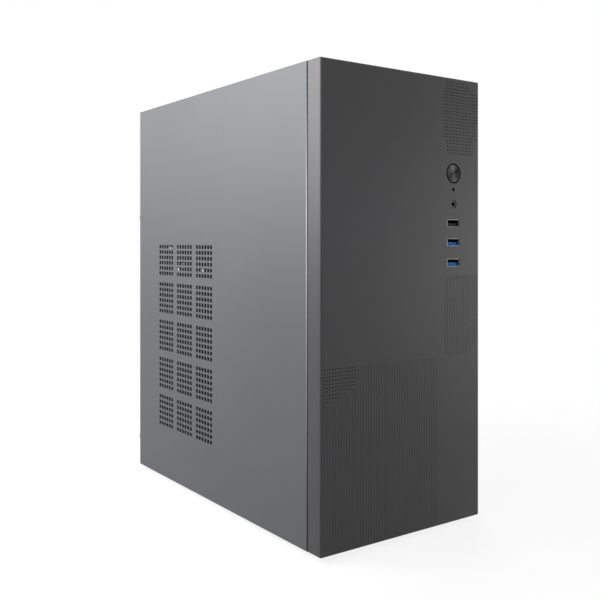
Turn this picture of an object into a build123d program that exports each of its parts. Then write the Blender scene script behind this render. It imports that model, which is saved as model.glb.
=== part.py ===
"""Desktop computer: a small tower case with its mainboard, power supply and drive.

Millimetres, +Z up. The front faces -Y, the vented side panel faces -X, and the
origin lies on the floor under the middle of the case.
"""

import os
from math import cos, radians, sin, sqrt

from build123d import *

os.makedirs("parts", exist_ok=True)

# The standard pieces that set the size of the case
PSU_WIDTH = 150.0
PSU_HEIGHT = 86.0
PSU_DEPTH = 140.0
BOARD_DEPTH = 205.0
BOARD_THICKNESS = 1.6
IO_LENGTH = 158.75
IO_WIDTH = 44.45
IO_BOARD_OFFSET = 3.8
IO_DROP = 1.0
SLOT_COUNT = 4
SLOT_PITCH = 20.32
SLOT_DROP = 12.0
SLOT_FOOT = 11.29
FAN_SIZE = 80.0

# Room that the case leaves around them
SIDE_ROOM = 5.0
FLOOR_ROOM = 10.0
BOARD_PSU_ROOM = 5.6
BOARD_REAR_ROOM = 1.2
FRONT_ROOM = 76.0
TRAY_INSET = 12.0
STANDOFF_HEIGHT = 6.5
FAN_SIDE_ROOM = 16.0
FAN_IO_ROOM = 3.25

# Case sheet, bezel and outside fittings
SHEET = 0.8
SEAM = 0.4
PANEL_GAP = 1.5
PANEL_LIP = 10.0
PANEL_HEM = 4.0
BEZEL_DEPTH = 15.0
BEZEL_WALL = 2.5
FOOT_HEIGHT = 4.0
THUMB_HEAD_LENGTH = 8.0
OVERRUN = 2.0

# The mainboard is as long as the opening for its rear sockets and the card slots below it.
# The case is as wide as the wider of its two rows: the power supply, or the board and a fan.
IO_RISE = SLOT_DROP + (SLOT_COUNT - 1) * SLOT_PITCH + SLOT_FOOT
BOARD_LENGTH = IO_RISE + IO_LENGTH + IO_DROP
PSU_ROW = PSU_WIDTH + 2 * SIDE_ROOM
BOARD_ROW = FAN_SIDE_ROOM + FAN_SIZE + FAN_IO_ROOM + IO_WIDTH - IO_BOARD_OFFSET
BOARD_ROW += BOARD_THICKNESS + STANDOFF_HEIGHT + TRAY_INSET

# Heights and widths that follow from these
HALF_WIDTH = max(PSU_ROW, BOARD_ROW) / 2
EDGE_STEP = SHEET + SEAM
LOW_Z = FOOT_HEIGHT
PAN_TOP_Z = LOW_Z + SHEET
INNER_LOW_Z = PAN_TOP_Z + EDGE_STEP
BOARD_LOW_Z = INNER_LOW_Z + FLOOR_ROOM
BOARD_HIGH_Z = BOARD_LOW_Z + BOARD_LENGTH
PSU_LOW_Z = BOARD_HIGH_Z + BOARD_PSU_ROOM
PSU_HIGH_Z = PSU_LOW_Z + PSU_HEIGHT
INNER_HIGH_Z = PSU_HIGH_Z + SEAM
COVER_UNDER_Z = INNER_HIGH_Z + EDGE_STEP
HIGH_Z = COVER_UNDER_Z + SHEET
MID_Z = (LOW_Z + HIGH_Z) / 2
REAR_HALF = HALF_WIDTH - PANEL_HEM - SEAM
TRAY_X = HALF_WIDTH - TRAY_INSET
BOARD_BACK_X = TRAY_X - STANDOFF_HEIGHT
BOARD_FACE_X = BOARD_BACK_X - BOARD_THICKNESS

# Places from front to rear
BODY_DEPTH = BEZEL_DEPTH + SHEET + FRONT_ROOM + BOARD_DEPTH + BOARD_REAR_ROOM + SHEET + EDGE_STEP
REAR_Y = (BODY_DEPTH - THUMB_HEAD_LENGTH) / 2
FRONT_Y = REAR_Y - BODY_DEPTH
FRAME_Y = FRONT_Y + BEZEL_DEPTH
FRAME_BACK_Y = FRAME_Y + SHEET
PANEL_FRONT_Y = FRAME_Y + PANEL_GAP
REAR_FACE_Y = REAR_Y - EDGE_STEP
REAR_INNER_Y = REAR_FACE_Y - SHEET
BOARD_REAR_Y = REAR_INNER_Y - BOARD_REAR_ROOM
BOARD_FRONT_Y = BOARD_REAR_Y - BOARD_DEPTH
PSU_FRONT_Y = REAR_INNER_Y - PSU_DEPTH

# Screws used all over the case
SCREW_RADIUS = 1.75
SCREW_HEAD_RADIUS = 3.2
SCREW_HEAD = 2.0
SCREW_BITE = 4.0
SCREW_CLEARANCE = 0.1
HOLE_RADIUS = SCREW_RADIUS + SCREW_CLEARANCE

# How a shape lies on the plane it is built on
UP = (Align.CENTER, Align.CENTER, Align.MIN)
DOWN = (Align.CENTER, Align.CENTER, Align.MAX)


def slab(x, y, z, mode=Mode.ADD):
    """Add a box between two bounds on each axis to the part being built."""
    with Locations(((x[0] + x[1]) / 2, (y[0] + y[1]) / 2, (z[0] + z[1]) / 2)):
        Box(abs(x[1] - x[0]), abs(y[1] - y[0]), abs(z[1] - z[0]), mode=mode)


def bar_x(x, y, z, radius, mode=Mode.ADD):
    """Add a round bar along X between two bounds to the part being built."""
    with Locations(((x[0] + x[1]) / 2, y, z)):
        Cylinder(radius, abs(x[1] - x[0]), rotation=(0, 90, 0), mode=mode)


def bar_y(x, y, z, radius, mode=Mode.ADD):
    """Add a round bar along Y between two bounds to the part being built."""
    with Locations((x, (y[0] + y[1]) / 2, z)):
        Cylinder(radius, abs(y[1] - y[0]), rotation=(90, 0, 0), mode=mode)


def around(centre, size):
    """The two bounds of a length centred on a place."""
    return (centre - size / 2, centre + size / 2)


def facing_front(y):
    """A plane across the case at a depth, with X across and Z up in the sketch."""
    return Plane.XZ.offset(-y)


def finish(piece, name):
    """Label a finished piece and write its file."""
    piece.part.label = name
    export_step(piece.part, f"parts/{name}.step")


# Top cover and bottom pan: sheets whose middle lies flush with the folded panel
# edges and whose own edges step in behind them, so that the panels can slide.
COVER_MIDDLE = HALF_WIDTH - PANEL_LIP - SEAM
COVER_EDGE = HALF_WIDTH - SHEET - SEAM


def stepped_cover(face_z, inward):
    """A cover with its outer face at a height; inward is +1 or -1 along Z."""
    back = face_z + inward * SHEET
    step = face_z + inward * EDGE_STEP
    under = step + inward * SHEET
    with BuildPart() as cover:
        with BuildSketch(facing_front(FRAME_BACK_Y)):
            with BuildLine():
                half = Polyline(
                    (0, face_z),
                    (COVER_MIDDLE, face_z),
                    (COVER_MIDDLE, step),
                    (COVER_EDGE, step),
                    (COVER_EDGE, under),
                    (COVER_MIDDLE - SHEET, under),
                    (COVER_MIDDLE - SHEET, back),
                    (0, back),
                )
                mirror(half, about=Plane.YZ)
            make_face()
        extrude(amount=FRAME_BACK_Y - REAR_FACE_Y)
    return cover


top_cover = stepped_cover(HIGH_Z, -1)
finish(top_cover, "top_cover")

bottom_pan = stepped_cover(LOW_Z, 1)
finish(bottom_pan, "bottom_pan")

# Rubber feet under the pan
FOOT_RADIUS = 9.0
FOOT_TOP_RADIUS = 8.0
FOOT_INSET_X = 25.0
FOOT_INSET_Y = 45.0

with BuildPart() as rubber_feet:
    with Locations((0, (FRONT_Y + REAR_Y) / 2, 0)):
        with GridLocations(2 * (HALF_WIDTH - FOOT_INSET_X), BODY_DEPTH - 2 * FOOT_INSET_Y, 2, 2):
            Cone(FOOT_RADIUS, FOOT_TOP_RADIUS, FOOT_HEIGHT, align=UP)
finish(rubber_feet, "rubber_feet")

# Controls on the front, measured from the right and upper edges of the bezel
PORT_INSET = 29.0
BUTTON_DROP = 75.2
LED_DROP = 87.9
JACK_DROP = 99.5
USB_BLACK_DROP = 114.5
USB_BLUE_DROPS = (129.5, 145.5)
PORT_X = HALF_WIDTH - PORT_INSET
BUTTON_Z = HIGH_Z - BUTTON_DROP
LED_Z = HIGH_Z - LED_DROP
JACK_Z = HIGH_Z - JACK_DROP
USB_BLACK_Z = HIGH_Z - USB_BLACK_DROP
USB_BLUE_Z = [HIGH_Z - drop for drop in USB_BLUE_DROPS]
USB_Z = [USB_BLACK_Z] + USB_BLUE_Z

USB_WIDTH = 13.4
USB_HEIGHT = 6.1
USB_RECESS = 0.4
PORT_CLEARANCE = 0.3
BUTTON_RADIUS = 7.2
BUTTON_CLEARANCE = 0.8
BUTTON_GUIDE_WALL = 1.2
BUTTON_GUIDE_DEPTH = 7.5
LED_RADIUS = 1.4
LED_CLEARANCE = 0.05
JACK_RADIUS = 3.0
JACK_BORE_RADIUS = 1.8

# Front bezel: a moulded shell with rounded edges, pegs and stiffening ribs behind
BEZEL_CORNER = 1.2
BEZEL_EDGE = 1.5
PEG_X = 60.0
PEG_INSET_Z = 25.0
PEG_MIDDLE_DROP = 20.0
PEG_RADIUS = 3.0
PEG_TIP_RADIUS = 2.0
PEG_REACH = 6.0
PEG_TIP = 3.0
RIB_WALL = 1.6
RIB_HEIGHT = 6.0
RIB_END_X = 30.0
RIB_PITCH = 58.0
RIB_COUNT = 5
PEG_PLACES = [
    (side * PEG_X, z)
    for side in (-1, 1)
    for z in (LOW_Z + PEG_INSET_Z, MID_Z - PEG_MIDDLE_DROP, HIGH_Z - PEG_INSET_Z)
]
BEZEL_BACK_Y = FRONT_Y + BEZEL_WALL

with BuildPart() as front_bezel:
    with BuildSketch(facing_front(FRONT_Y)):
        with Locations((0, MID_Z)):
            RectangleRounded(2 * HALF_WIDTH, HIGH_Z - LOW_Z, BEZEL_CORNER)
    extrude(amount=-BEZEL_DEPTH)
    fillet(front_bezel.faces().sort_by(Axis.Y)[0].edges(), BEZEL_EDGE)
    with BuildSketch(facing_front(BEZEL_BACK_Y)):
        with Locations((0, MID_Z)):
            Rectangle(2 * (HALF_WIDTH - BEZEL_WALL), HIGH_Z - LOW_Z - 2 * BEZEL_WALL)
    extrude(amount=-BEZEL_DEPTH, mode=Mode.SUBTRACT)
    # Stiffening ribs on the left of the controls
    with BuildSketch(facing_front(BEZEL_BACK_Y)):
        with Locations(((RIB_END_X - HALF_WIDTH + BEZEL_WALL) / 2, MID_Z)):
            with GridLocations(0, RIB_PITCH, 1, RIB_COUNT):
                Rectangle(HALF_WIDTH - BEZEL_WALL + RIB_END_X, RIB_WALL)
        with Locations((RIB_END_X, MID_Z)):
            Rectangle(RIB_WALL, HIGH_Z - LOW_Z - 2 * BEZEL_WALL)
    extrude(amount=-RIB_HEIGHT)
    # Guide tube behind the power button
    bar_y(PORT_X, (BEZEL_BACK_Y, FRONT_Y + BUTTON_GUIDE_DEPTH), BUTTON_Z,
          BUTTON_RADIUS + BUTTON_CLEARANCE + BUTTON_GUIDE_WALL)
    # Pegs that push into the front frame
    for peg_x, peg_z in PEG_PLACES:
        bar_y(peg_x, (BEZEL_BACK_Y, FRAME_BACK_Y + PEG_REACH - PEG_TIP), peg_z, PEG_RADIUS)
        tip = Plane((peg_x, FRAME_BACK_Y + PEG_REACH - PEG_TIP, peg_z), x_dir=(1, 0, 0), z_dir=(0, 1, 0))
        with Locations(tip):
            Cone(PEG_RADIUS, PEG_TIP_RADIUS, PEG_TIP, align=UP)
    # Openings for the button, the light, the jack and the sockets
    through = (FRONT_Y - OVERRUN, FRONT_Y + BUTTON_GUIDE_DEPTH + OVERRUN)
    bar_y(PORT_X, through, BUTTON_Z, BUTTON_RADIUS + BUTTON_CLEARANCE, Mode.SUBTRACT)
    bar_y(PORT_X, through, LED_Z, LED_RADIUS + LED_CLEARANCE, Mode.SUBTRACT)
    bar_y(PORT_X, through, JACK_Z, JACK_RADIUS + PORT_CLEARANCE, Mode.SUBTRACT)
    for socket_z in USB_Z:
        slab(around(PORT_X, USB_WIDTH + 2 * PORT_CLEARANCE), through,
             around(socket_z, USB_HEIGHT + 2 * PORT_CLEARANCE), Mode.SUBTRACT)
finish(front_bezel, "front_bezel")

# Power button: a dished cap in the guide tube, a stop flange and a stem
BUTTON_FLANGE_RADIUS = 9.2
BUTTON_FLANGE = 1.5
BUTTON_DISH_RADIUS = 60.0
BUTTON_DISH = 0.3
BUTTON_EDGE = 0.5
BUTTON_STEM_RADIUS = 2.9
STEM_CLEARANCE = 0.3
SWITCH_DEPTH = 4.0
SWITCH_WIDTH = 12.0
SWITCH_FRONT_Y = FRAME_BACK_Y - SWITCH_DEPTH
STEM_ENTRY = 0.8
FLANGE_BACK_Y = FRONT_Y + BUTTON_GUIDE_DEPTH + BUTTON_FLANGE

with BuildPart() as power_button:
    bar_y(PORT_X, (FRONT_Y, FRONT_Y + BUTTON_GUIDE_DEPTH), BUTTON_Z, BUTTON_RADIUS)
    chamfer(power_button.edges().filter_by(GeomType.CIRCLE).sort_by(Axis.Y)[0], BUTTON_EDGE)
    bar_y(PORT_X, (FRONT_Y + BUTTON_GUIDE_DEPTH, FLANGE_BACK_Y), BUTTON_Z, BUTTON_FLANGE_RADIUS)
    bar_y(PORT_X, (FLANGE_BACK_Y, SWITCH_FRONT_Y + STEM_ENTRY), BUTTON_Z, BUTTON_STEM_RADIUS)
    with Locations((PORT_X, FRONT_Y + BUTTON_DISH - BUTTON_DISH_RADIUS, BUTTON_Z)):
        Sphere(BUTTON_DISH_RADIUS, mode=Mode.SUBTRACT)
finish(power_button, "power_button")

# Light pipe pressed into the bezel from behind
LED_SINK = 0.5
LED_FLANGE_RADIUS = 2.2
LED_FLANGE = 1.0

with BuildPart() as led_lens:
    bar_y(PORT_X, (FRONT_Y + LED_SINK, BEZEL_BACK_Y), LED_Z, LED_RADIUS)
    bar_y(PORT_X, (BEZEL_BACK_Y, BEZEL_BACK_Y + LED_FLANGE), LED_Z, LED_FLANGE_RADIUS)
finish(led_lens, "led_lens")

# Board behind the front controls, held against the back of the front frame
IO_BOARD_WIDTH = 32.0
IO_WINDOW_WIDTH = 22.0
IO_WINDOW_MARGIN = 8.0
IO_BOARD_MARGIN = 7.0
IO_SCREW_INSET = 3.5
IO_WINDOW_Z = (USB_BLUE_Z[-1] - IO_WINDOW_MARGIN, BUTTON_Z + IO_WINDOW_MARGIN)
IO_BOARD_Z = (IO_WINDOW_Z[0] - IO_BOARD_MARGIN, IO_WINDOW_Z[1] + IO_BOARD_MARGIN)
IO_BOARD_BACK_Y = FRAME_BACK_Y + BOARD_THICKNESS
IO_SCREWS = [(PORT_X, IO_BOARD_Z[0] + IO_SCREW_INSET), (PORT_X, IO_BOARD_Z[1] - IO_SCREW_INSET)]

with BuildPart() as front_io_board:
    slab(around(PORT_X, IO_BOARD_WIDTH), (FRAME_BACK_Y, IO_BOARD_BACK_Y), IO_BOARD_Z)
    for screw_x, screw_z in IO_SCREWS:
        bar_y(screw_x, (FRAME_Y, IO_BOARD_BACK_Y + OVERRUN), screw_z, HOLE_RADIUS, Mode.SUBTRACT)
finish(front_io_board, "front_io_board")

with BuildPart() as power_switch:
    slab(around(PORT_X, SWITCH_WIDTH), (SWITCH_FRONT_Y, FRAME_BACK_Y), around(BUTTON_Z, SWITCH_WIDTH))
    bar_y(PORT_X, (SWITCH_FRONT_Y - OVERRUN, FRAME_BACK_Y + OVERRUN), BUTTON_Z,
          BUTTON_STEM_RADIUS + STEM_CLEARANCE, Mode.SUBTRACT)
finish(power_switch, "power_switch")

# Front USB sockets: folded shells with plastic inserts that carry the contact tongues
USB_SHELL = 0.45
USB_INSERT_BLOCK = 4.0
USB_TONGUE_WIDTH = 11.1
USB_TONGUE = 1.9
USB_TONGUE_RISE = 0.6
USB_TONGUE_RECESS = 1.2
USB_MOUTH_Y = FRONT_Y + USB_RECESS

with BuildPart() as front_usb_shells:
    for socket_z in USB_Z:
        slab(around(PORT_X, USB_WIDTH), (USB_MOUTH_Y, FRAME_BACK_Y), around(socket_z, USB_HEIGHT))
        slab(around(PORT_X, USB_WIDTH - 2 * USB_SHELL), (USB_MOUTH_Y - OVERRUN, FRAME_BACK_Y + OVERRUN),
             around(socket_z, USB_HEIGHT - 2 * USB_SHELL), Mode.SUBTRACT)
finish(front_usb_shells, "front_usb_shells")


def usb_insert(heights):
    """Inserts for the shells at the given heights."""
    with BuildPart() as insert:
        for socket_z in heights:
            inner_low = socket_z - USB_HEIGHT / 2 + USB_SHELL
            slab(around(PORT_X, USB_WIDTH - 2 * USB_SHELL), (FRAME_BACK_Y - USB_INSERT_BLOCK, FRAME_BACK_Y),
                 around(socket_z, USB_HEIGHT - 2 * USB_SHELL))
            slab(around(PORT_X, USB_TONGUE_WIDTH), (USB_MOUTH_Y + USB_TONGUE_RECESS, FRAME_BACK_Y),
                 (inner_low + USB_TONGUE_RISE, inner_low + USB_TONGUE_RISE + USB_TONGUE))
    return insert


usb_black_insert = usb_insert([USB_BLACK_Z])
finish(usb_black_insert, "usb_black_insert")

usb_blue_inserts = usb_insert(USB_BLUE_Z)
finish(usb_blue_inserts, "usb_blue_inserts")

# Front audio jack: a bush through the bezel on a square body
JACK_BODY = 9.0
JACK_BUSH = 6.0
JACK_DEPTH = 13.0

with BuildPart() as front_audio_jack:
    bar_y(PORT_X, (FRONT_Y + USB_RECESS, FRONT_Y + JACK_BUSH), JACK_Z, JACK_RADIUS)
    slab(around(PORT_X, JACK_BODY), (FRONT_Y + JACK_BUSH, FRAME_BACK_Y), around(JACK_Z, JACK_BODY))
    bar_y(PORT_X, (FRONT_Y - OVERRUN, FRONT_Y + USB_RECESS + JACK_DEPTH), JACK_Z, JACK_BORE_RADIUS,
          Mode.SUBTRACT)
finish(front_audio_jack, "front_audio_jack")

# Front frame: the steel front with its folded rim, air slots and control window
FRAME_INSET = 2.0
FRAME_RIM = 12.0
AIR_SLOT_WIDTH = 5.0
AIR_SLOT_HEIGHT = 96.0
AIR_SLOT_PITCH = 11.0
AIR_SLOT_COUNT = 8
AIR_SLOT_Z = 100.0
PEG_CLEARANCE = 0.3

with BuildPart() as front_frame:
    slab((FRAME_INSET - HALF_WIDTH, HALF_WIDTH - FRAME_INSET), (FRAME_Y, FRAME_BACK_Y),
         (INNER_LOW_Z, INNER_HIGH_Z))
    with BuildSketch(facing_front(FRAME_BACK_Y)):
        with Locations((0, (INNER_LOW_Z + INNER_HIGH_Z) / 2)):
            Rectangle(2 * REAR_HALF, INNER_HIGH_Z - INNER_LOW_Z)
            Rectangle(2 * (REAR_HALF - SHEET), INNER_HIGH_Z - INNER_LOW_Z - 2 * SHEET, mode=Mode.SUBTRACT)
    extrude(amount=-FRAME_RIM)
    with BuildSketch(facing_front(FRAME_Y)):
        with Locations((0, LOW_Z + AIR_SLOT_Z)):
            with GridLocations(AIR_SLOT_PITCH, 0, AIR_SLOT_COUNT, 1):
                Rectangle(AIR_SLOT_WIDTH, AIR_SLOT_HEIGHT)
        with Locations((PORT_X, sum(IO_WINDOW_Z) / 2)):
            Rectangle(IO_WINDOW_WIDTH, IO_WINDOW_Z[1] - IO_WINDOW_Z[0])
        with Locations(*PEG_PLACES):
            Circle(PEG_RADIUS + PEG_CLEARANCE)
        with Locations(*IO_SCREWS):
            Circle(HOLE_RADIUS)
    extrude(amount=-SHEET, mode=Mode.SUBTRACT)
finish(front_frame, "front_frame")

# Rear layout: power supply above, sockets and fan in the middle, card slots below
IO_X = (BOARD_FACE_X + IO_BOARD_OFFSET - IO_WIDTH, BOARD_FACE_X + IO_BOARD_OFFSET)
IO_Z = (BOARD_LOW_Z + IO_RISE, BOARD_LOW_Z + IO_RISE + IO_LENGTH)

SLOT_HEIGHT = 12.0
SLOT_LENGTH = 104.0
SLOT_INSET = 2.0
SLOT_X = (BOARD_FACE_X - SLOT_INSET - SLOT_LENGTH, BOARD_FACE_X - SLOT_INSET)
SLOT_Z = [IO_Z[0] - SLOT_DROP - index * SLOT_PITCH for index in range(SLOT_COUNT)]
SLOT_SCREW_INSET = 5.0
SLOT_SCREW_X = SLOT_X[0] - SLOT_SCREW_INSET

FAN_DEPTH = 25.0
FAN_HOLE_INSET = 4.25
FAN_HOLE_PITCH = FAN_SIZE - 2 * FAN_HOLE_INSET
FAN_WALL = 2.0
REAR_FAN_X = IO_X[0] - FAN_IO_ROOM - FAN_SIZE / 2
FAN_PSU_ROOM = 4.6
REAR_FAN_Z = PSU_LOW_Z - FAN_PSU_ROOM - FAN_SIZE / 2
FAN_GRILLE_HOLE = 6.0
FAN_GRILLE_PITCH = 8.0
FAN_GRILLE_BORDER = 4.0
FAN_GRILLE_REACH = FAN_SIZE / 2 - FAN_GRILLE_BORDER
FAN_SCREWS = [
    (REAR_FAN_X + across * FAN_HOLE_PITCH / 2, REAR_FAN_Z + up * FAN_HOLE_PITCH / 2)
    for across in (-1, 1)
    for up in (-1, 1)
]

PSU_SCREW_INSET = 6.0
PSU_SCREW_RISE = 80.0
PSU_SCREW_SHIFT = 24.0
PSU_HALF = PSU_WIDTH / 2
PSU_MID_Z = (PSU_LOW_Z + PSU_HIGH_Z) / 2
PSU_SCREWS = [
    (PSU_SCREW_INSET - PSU_HALF, PSU_LOW_Z + PSU_SCREW_INSET),
    (PSU_HALF - PSU_SCREW_INSET, PSU_LOW_Z + PSU_SCREW_INSET),
    (PSU_SCREW_INSET - PSU_HALF, PSU_LOW_Z + PSU_SCREW_RISE),
    (PSU_HALF - PSU_SCREW_INSET - PSU_SCREW_SHIFT, PSU_LOW_Z + PSU_SCREW_RISE),
]
PSU_WINDOW_MARGIN_X = 11.0
PSU_WINDOW_MARGIN_Z = 11.0

THUMB_INSET = 8.0
THUMB_X = HALF_WIDTH - THUMB_INSET
THUMB_RISE = 26.0
THUMB_DROP = 16.0
THUMB_LOW_Z = LOW_Z + THUMB_RISE
THUMB_HIGH_Z = PSU_LOW_Z - THUMB_DROP
THUMB_SHANK_RADIUS = 1.75
THUMB_HOLE_RADIUS = THUMB_SHANK_RADIUS + SCREW_CLEARANCE

# Rear panel: punched sheet with a folded rim and a lip that carries the power supply
REAR_RIM = 10.0
PSU_LIP_DEPTH = 8.0
PSU_LIP_HALF = 60.0


def grille_places(reach, pitch):
    """Hole centres on a square grid that fit within a circle."""
    steps = range(-int(reach // pitch), int(reach // pitch) + 1)
    return [(i * pitch, j * pitch) for i in steps for j in steps if sqrt(i * i + j * j) * pitch <= reach]


with BuildPart() as rear_panel:
    with BuildSketch(facing_front(REAR_FACE_Y)):
        with Locations((0, MID_Z)):
            Rectangle(2 * REAR_HALF, INNER_HIGH_Z - INNER_LOW_Z)
            Rectangle(2 * (COVER_MIDDLE - SHEET), COVER_UNDER_Z - PAN_TOP_Z)
        with Locations((0, PSU_MID_Z)):
            Rectangle(PSU_WIDTH - 2 * PSU_WINDOW_MARGIN_X, PSU_HEIGHT - 2 * PSU_WINDOW_MARGIN_Z,
                      mode=Mode.SUBTRACT)
        with Locations((sum(IO_X) / 2, sum(IO_Z) / 2)):
            Rectangle(IO_WIDTH, IO_LENGTH, mode=Mode.SUBTRACT)
        with Locations(*[(sum(SLOT_X) / 2, z) for z in SLOT_Z]):
            Rectangle(SLOT_LENGTH, SLOT_HEIGHT, mode=Mode.SUBTRACT)
        with Locations((REAR_FAN_X, REAR_FAN_Z)):
            with Locations(*grille_places(FAN_GRILLE_REACH - FAN_GRILLE_HOLE / 2, FAN_GRILLE_PITCH)):
                Rectangle(FAN_GRILLE_HOLE, FAN_GRILLE_HOLE, mode=Mode.SUBTRACT)
        with Locations(*PSU_SCREWS, *FAN_SCREWS, *[(SLOT_SCREW_X, z) for z in SLOT_Z]):
            Circle(HOLE_RADIUS, mode=Mode.SUBTRACT)
        with Locations(*[(side * THUMB_X, z) for side in (-1, 1) for z in (THUMB_LOW_Z, THUMB_HIGH_Z)]):
            Circle(THUMB_HOLE_RADIUS, mode=Mode.SUBTRACT)
    extrude(amount=SHEET)
    slab((-PSU_LIP_HALF, PSU_LIP_HALF), (REAR_INNER_Y - PSU_LIP_DEPTH, REAR_INNER_Y),
         (PSU_LOW_Z - SHEET, PSU_LOW_Z))
    for side in (-1, 1):
        slab((side * (REAR_HALF - SHEET), side * REAR_HALF), (REAR_INNER_Y - REAR_RIM, REAR_INNER_Y),
             (INNER_LOW_Z, PSU_LOW_Z - SHEET))
finish(rear_panel, "rear_panel")

# Mainboard tray on the right, standing on the pan between the front and rear sheets
TRAY_HOLE_WIDTH = 14.0
TRAY_HOLE_HEIGHT = 30.0
TRAY_HOLE_FRONT = 16.0
TRAY_HOLE_RISE = 61.0

with BuildPart() as board_tray:
    slab((TRAY_X, TRAY_X + SHEET), (FRAME_BACK_Y + FRAME_RIM, REAR_INNER_Y), (PAN_TOP_Z, PSU_LOW_Z - SHEET))
    for rise in (-TRAY_HOLE_RISE, TRAY_HOLE_RISE):
        slab((TRAY_X - OVERRUN, TRAY_X + SHEET + OVERRUN),
             around(BOARD_FRONT_Y - TRAY_HOLE_FRONT, TRAY_HOLE_WIDTH),
             around((BOARD_LOW_Z + BOARD_HIGH_Z) / 2 + rise, TRAY_HOLE_HEIGHT), Mode.SUBTRACT)
finish(board_tray, "board_tray")

# Drive shelf in front of the power supply, notched clear of the front controls
SHELF_LEFT_X = -50.0
SHELF_RIGHT_ROOM = 1.6
SHELF_NOTCH_X = 30.0
SHELF_NOTCH = 25.0
SHELF_UNDER_PSU = 15.0
SHELF_UPSTAND = 14.0
SHELF_RIGHT_X = REAR_HALF - SHEET - SHELF_RIGHT_ROOM

with BuildPart() as drive_shelf:
    with BuildSketch(Plane.XY.offset(PSU_LOW_Z - SHEET)):
        with BuildLine():
            Polyline(
                (SHELF_LEFT_X, FRAME_BACK_Y),
                (SHELF_NOTCH_X, FRAME_BACK_Y),
                (SHELF_NOTCH_X, FRAME_BACK_Y + SHELF_NOTCH),
                (SHELF_RIGHT_X, FRAME_BACK_Y + SHELF_NOTCH),
                (SHELF_RIGHT_X, PSU_FRONT_Y + SHELF_UNDER_PSU),
                (SHELF_LEFT_X, PSU_FRONT_Y + SHELF_UNDER_PSU),
                close=True,
            )
        make_face()
    extrude(amount=SHEET)
    slab((SHELF_LEFT_X, SHELF_NOTCH_X), (FRAME_BACK_Y, FRAME_BACK_Y + SHEET),
         (PSU_LOW_Z, PSU_LOW_Z + SHELF_UPSTAND))
finish(drive_shelf, "drive_shelf")

# Side panels: sheet folded over at the top, bottom and rear, with a hem in front
PANEL_CHAMFER = 0.4
REAR_FLANGE = 14.0
REAR_FLANGE_NARROW = 5.0
REAR_FLANGE_ROOM = 6.0
VENT_HOLE = 3.3
VENT_PITCH = 5.0
VENT_SIDE_COUNT = 6
VENT_COLUMNS = 3
VENT_ROWS = 5
VENT_COLUMN_PITCH = 36.6
VENT_ROW_PITCH = 35.4
VENT_FROM_REAR = 95.2
VENT_RISE = 133.0
VENT_MARGIN = 6.0
VENT_Y = REAR_Y - VENT_FROM_REAR
VENT_Z = LOW_Z + VENT_RISE
VENT_BLOCK = (VENT_SIDE_COUNT - 1) * VENT_PITCH + VENT_HOLE
VENT_FIELD_WIDTH = (VENT_COLUMNS - 1) * VENT_COLUMN_PITCH + VENT_BLOCK + 2 * VENT_MARGIN
VENT_FIELD_HEIGHT = (VENT_ROWS - 1) * VENT_ROW_PITCH + VENT_BLOCK + 2 * VENT_MARGIN


def upright_rectangle(x, y, z, width, height):
    """A closed rectangle standing across X, given by its centre and size."""
    (y0, y1), (z0, z1) = around(y, width), around(z, height)
    return Wire.make_polygon([(x, y0, z0), (x, y1, z0), (x, y1, z1), (x, y0, z1)], close=True)


def centred(count, pitch):
    """Places along a line, spread evenly about its middle."""
    return [(index - (count - 1) / 2) * pitch for index in range(count)]


def vent_field(x):
    """The part of the side panel that holds the vents, as one face with all its holes."""
    in_block = centred(VENT_SIDE_COUNT, VENT_PITCH)
    blocks_across = centred(VENT_COLUMNS, VENT_COLUMN_PITCH)
    blocks_up = centred(VENT_ROWS, VENT_ROW_PITCH)
    columns = [VENT_Y + block + hole for block in blocks_across for hole in in_block]
    rows = [VENT_Z + block + hole for block in blocks_up for hole in in_block]
    holes = [upright_rectangle(x, y, z, VENT_HOLE, VENT_HOLE) for y in columns for z in rows]
    return Face(upright_rectangle(x, VENT_Y, VENT_Z, VENT_FIELD_WIDTH, VENT_FIELD_HEIGHT), holes)


def side_panel(side, vented):
    """A side panel; side is -1 for the left and +1 for the right."""
    outer = side * HALF_WIDTH
    inner = outer - side * SHEET
    lip = outer - side * PANEL_LIP
    with BuildPart() as panel:
        with BuildSketch(facing_front(PANEL_FRONT_Y)):
            with BuildLine():
                Polyline(
                    (outer, LOW_Z),
                    (outer, HIGH_Z),
                    (lip, HIGH_Z),
                    (lip, COVER_UNDER_Z),
                    (inner, COVER_UNDER_Z),
                    (inner, PAN_TOP_Z),
                    (lip, PAN_TOP_Z),
                    (lip, LOW_Z),
                    close=True,
                )
            make_face()
        extrude(amount=PANEL_FRONT_Y - REAR_Y)
        rear = (REAR_Y - SHEET, REAR_Y)
        slab((inner, outer - side * REAR_FLANGE), rear, (PAN_TOP_Z, PSU_LOW_Z - REAR_FLANGE_ROOM))
        slab((inner, outer - side * REAR_FLANGE_NARROW), rear,
             (PSU_LOW_Z - REAR_FLANGE_ROOM, COVER_UNDER_Z))
        slab((inner, outer - side * PANEL_HEM), (PANEL_FRONT_Y, PANEL_FRONT_Y + SHEET),
             (INNER_LOW_Z + SEAM, INNER_HIGH_Z - SEAM))
        skin = panel.faces().sort_by(Axis.X)[0 if side < 0 else -1]
        chamfer(skin.edges(), PANEL_CHAMFER)
        for screw_z in (THUMB_LOW_Z, THUMB_HIGH_Z):
            bar_y(side * THUMB_X, (REAR_Y - SHEET - OVERRUN, REAR_Y + OVERRUN), screw_z, THUMB_HOLE_RADIUS,
                  Mode.SUBTRACT)
        if vented:
            slab((inner, outer), around(VENT_Y, VENT_FIELD_WIDTH), around(VENT_Z, VENT_FIELD_HEIGHT),
                 Mode.SUBTRACT)
            extrude(vent_field(outer), amount=SHEET, dir=(-side, 0, 0))
    return panel


left_side_panel = side_panel(-1, True)
finish(left_side_panel, "left_side_panel")

right_side_panel = side_panel(1, False)
finish(right_side_panel, "right_side_panel")

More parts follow.
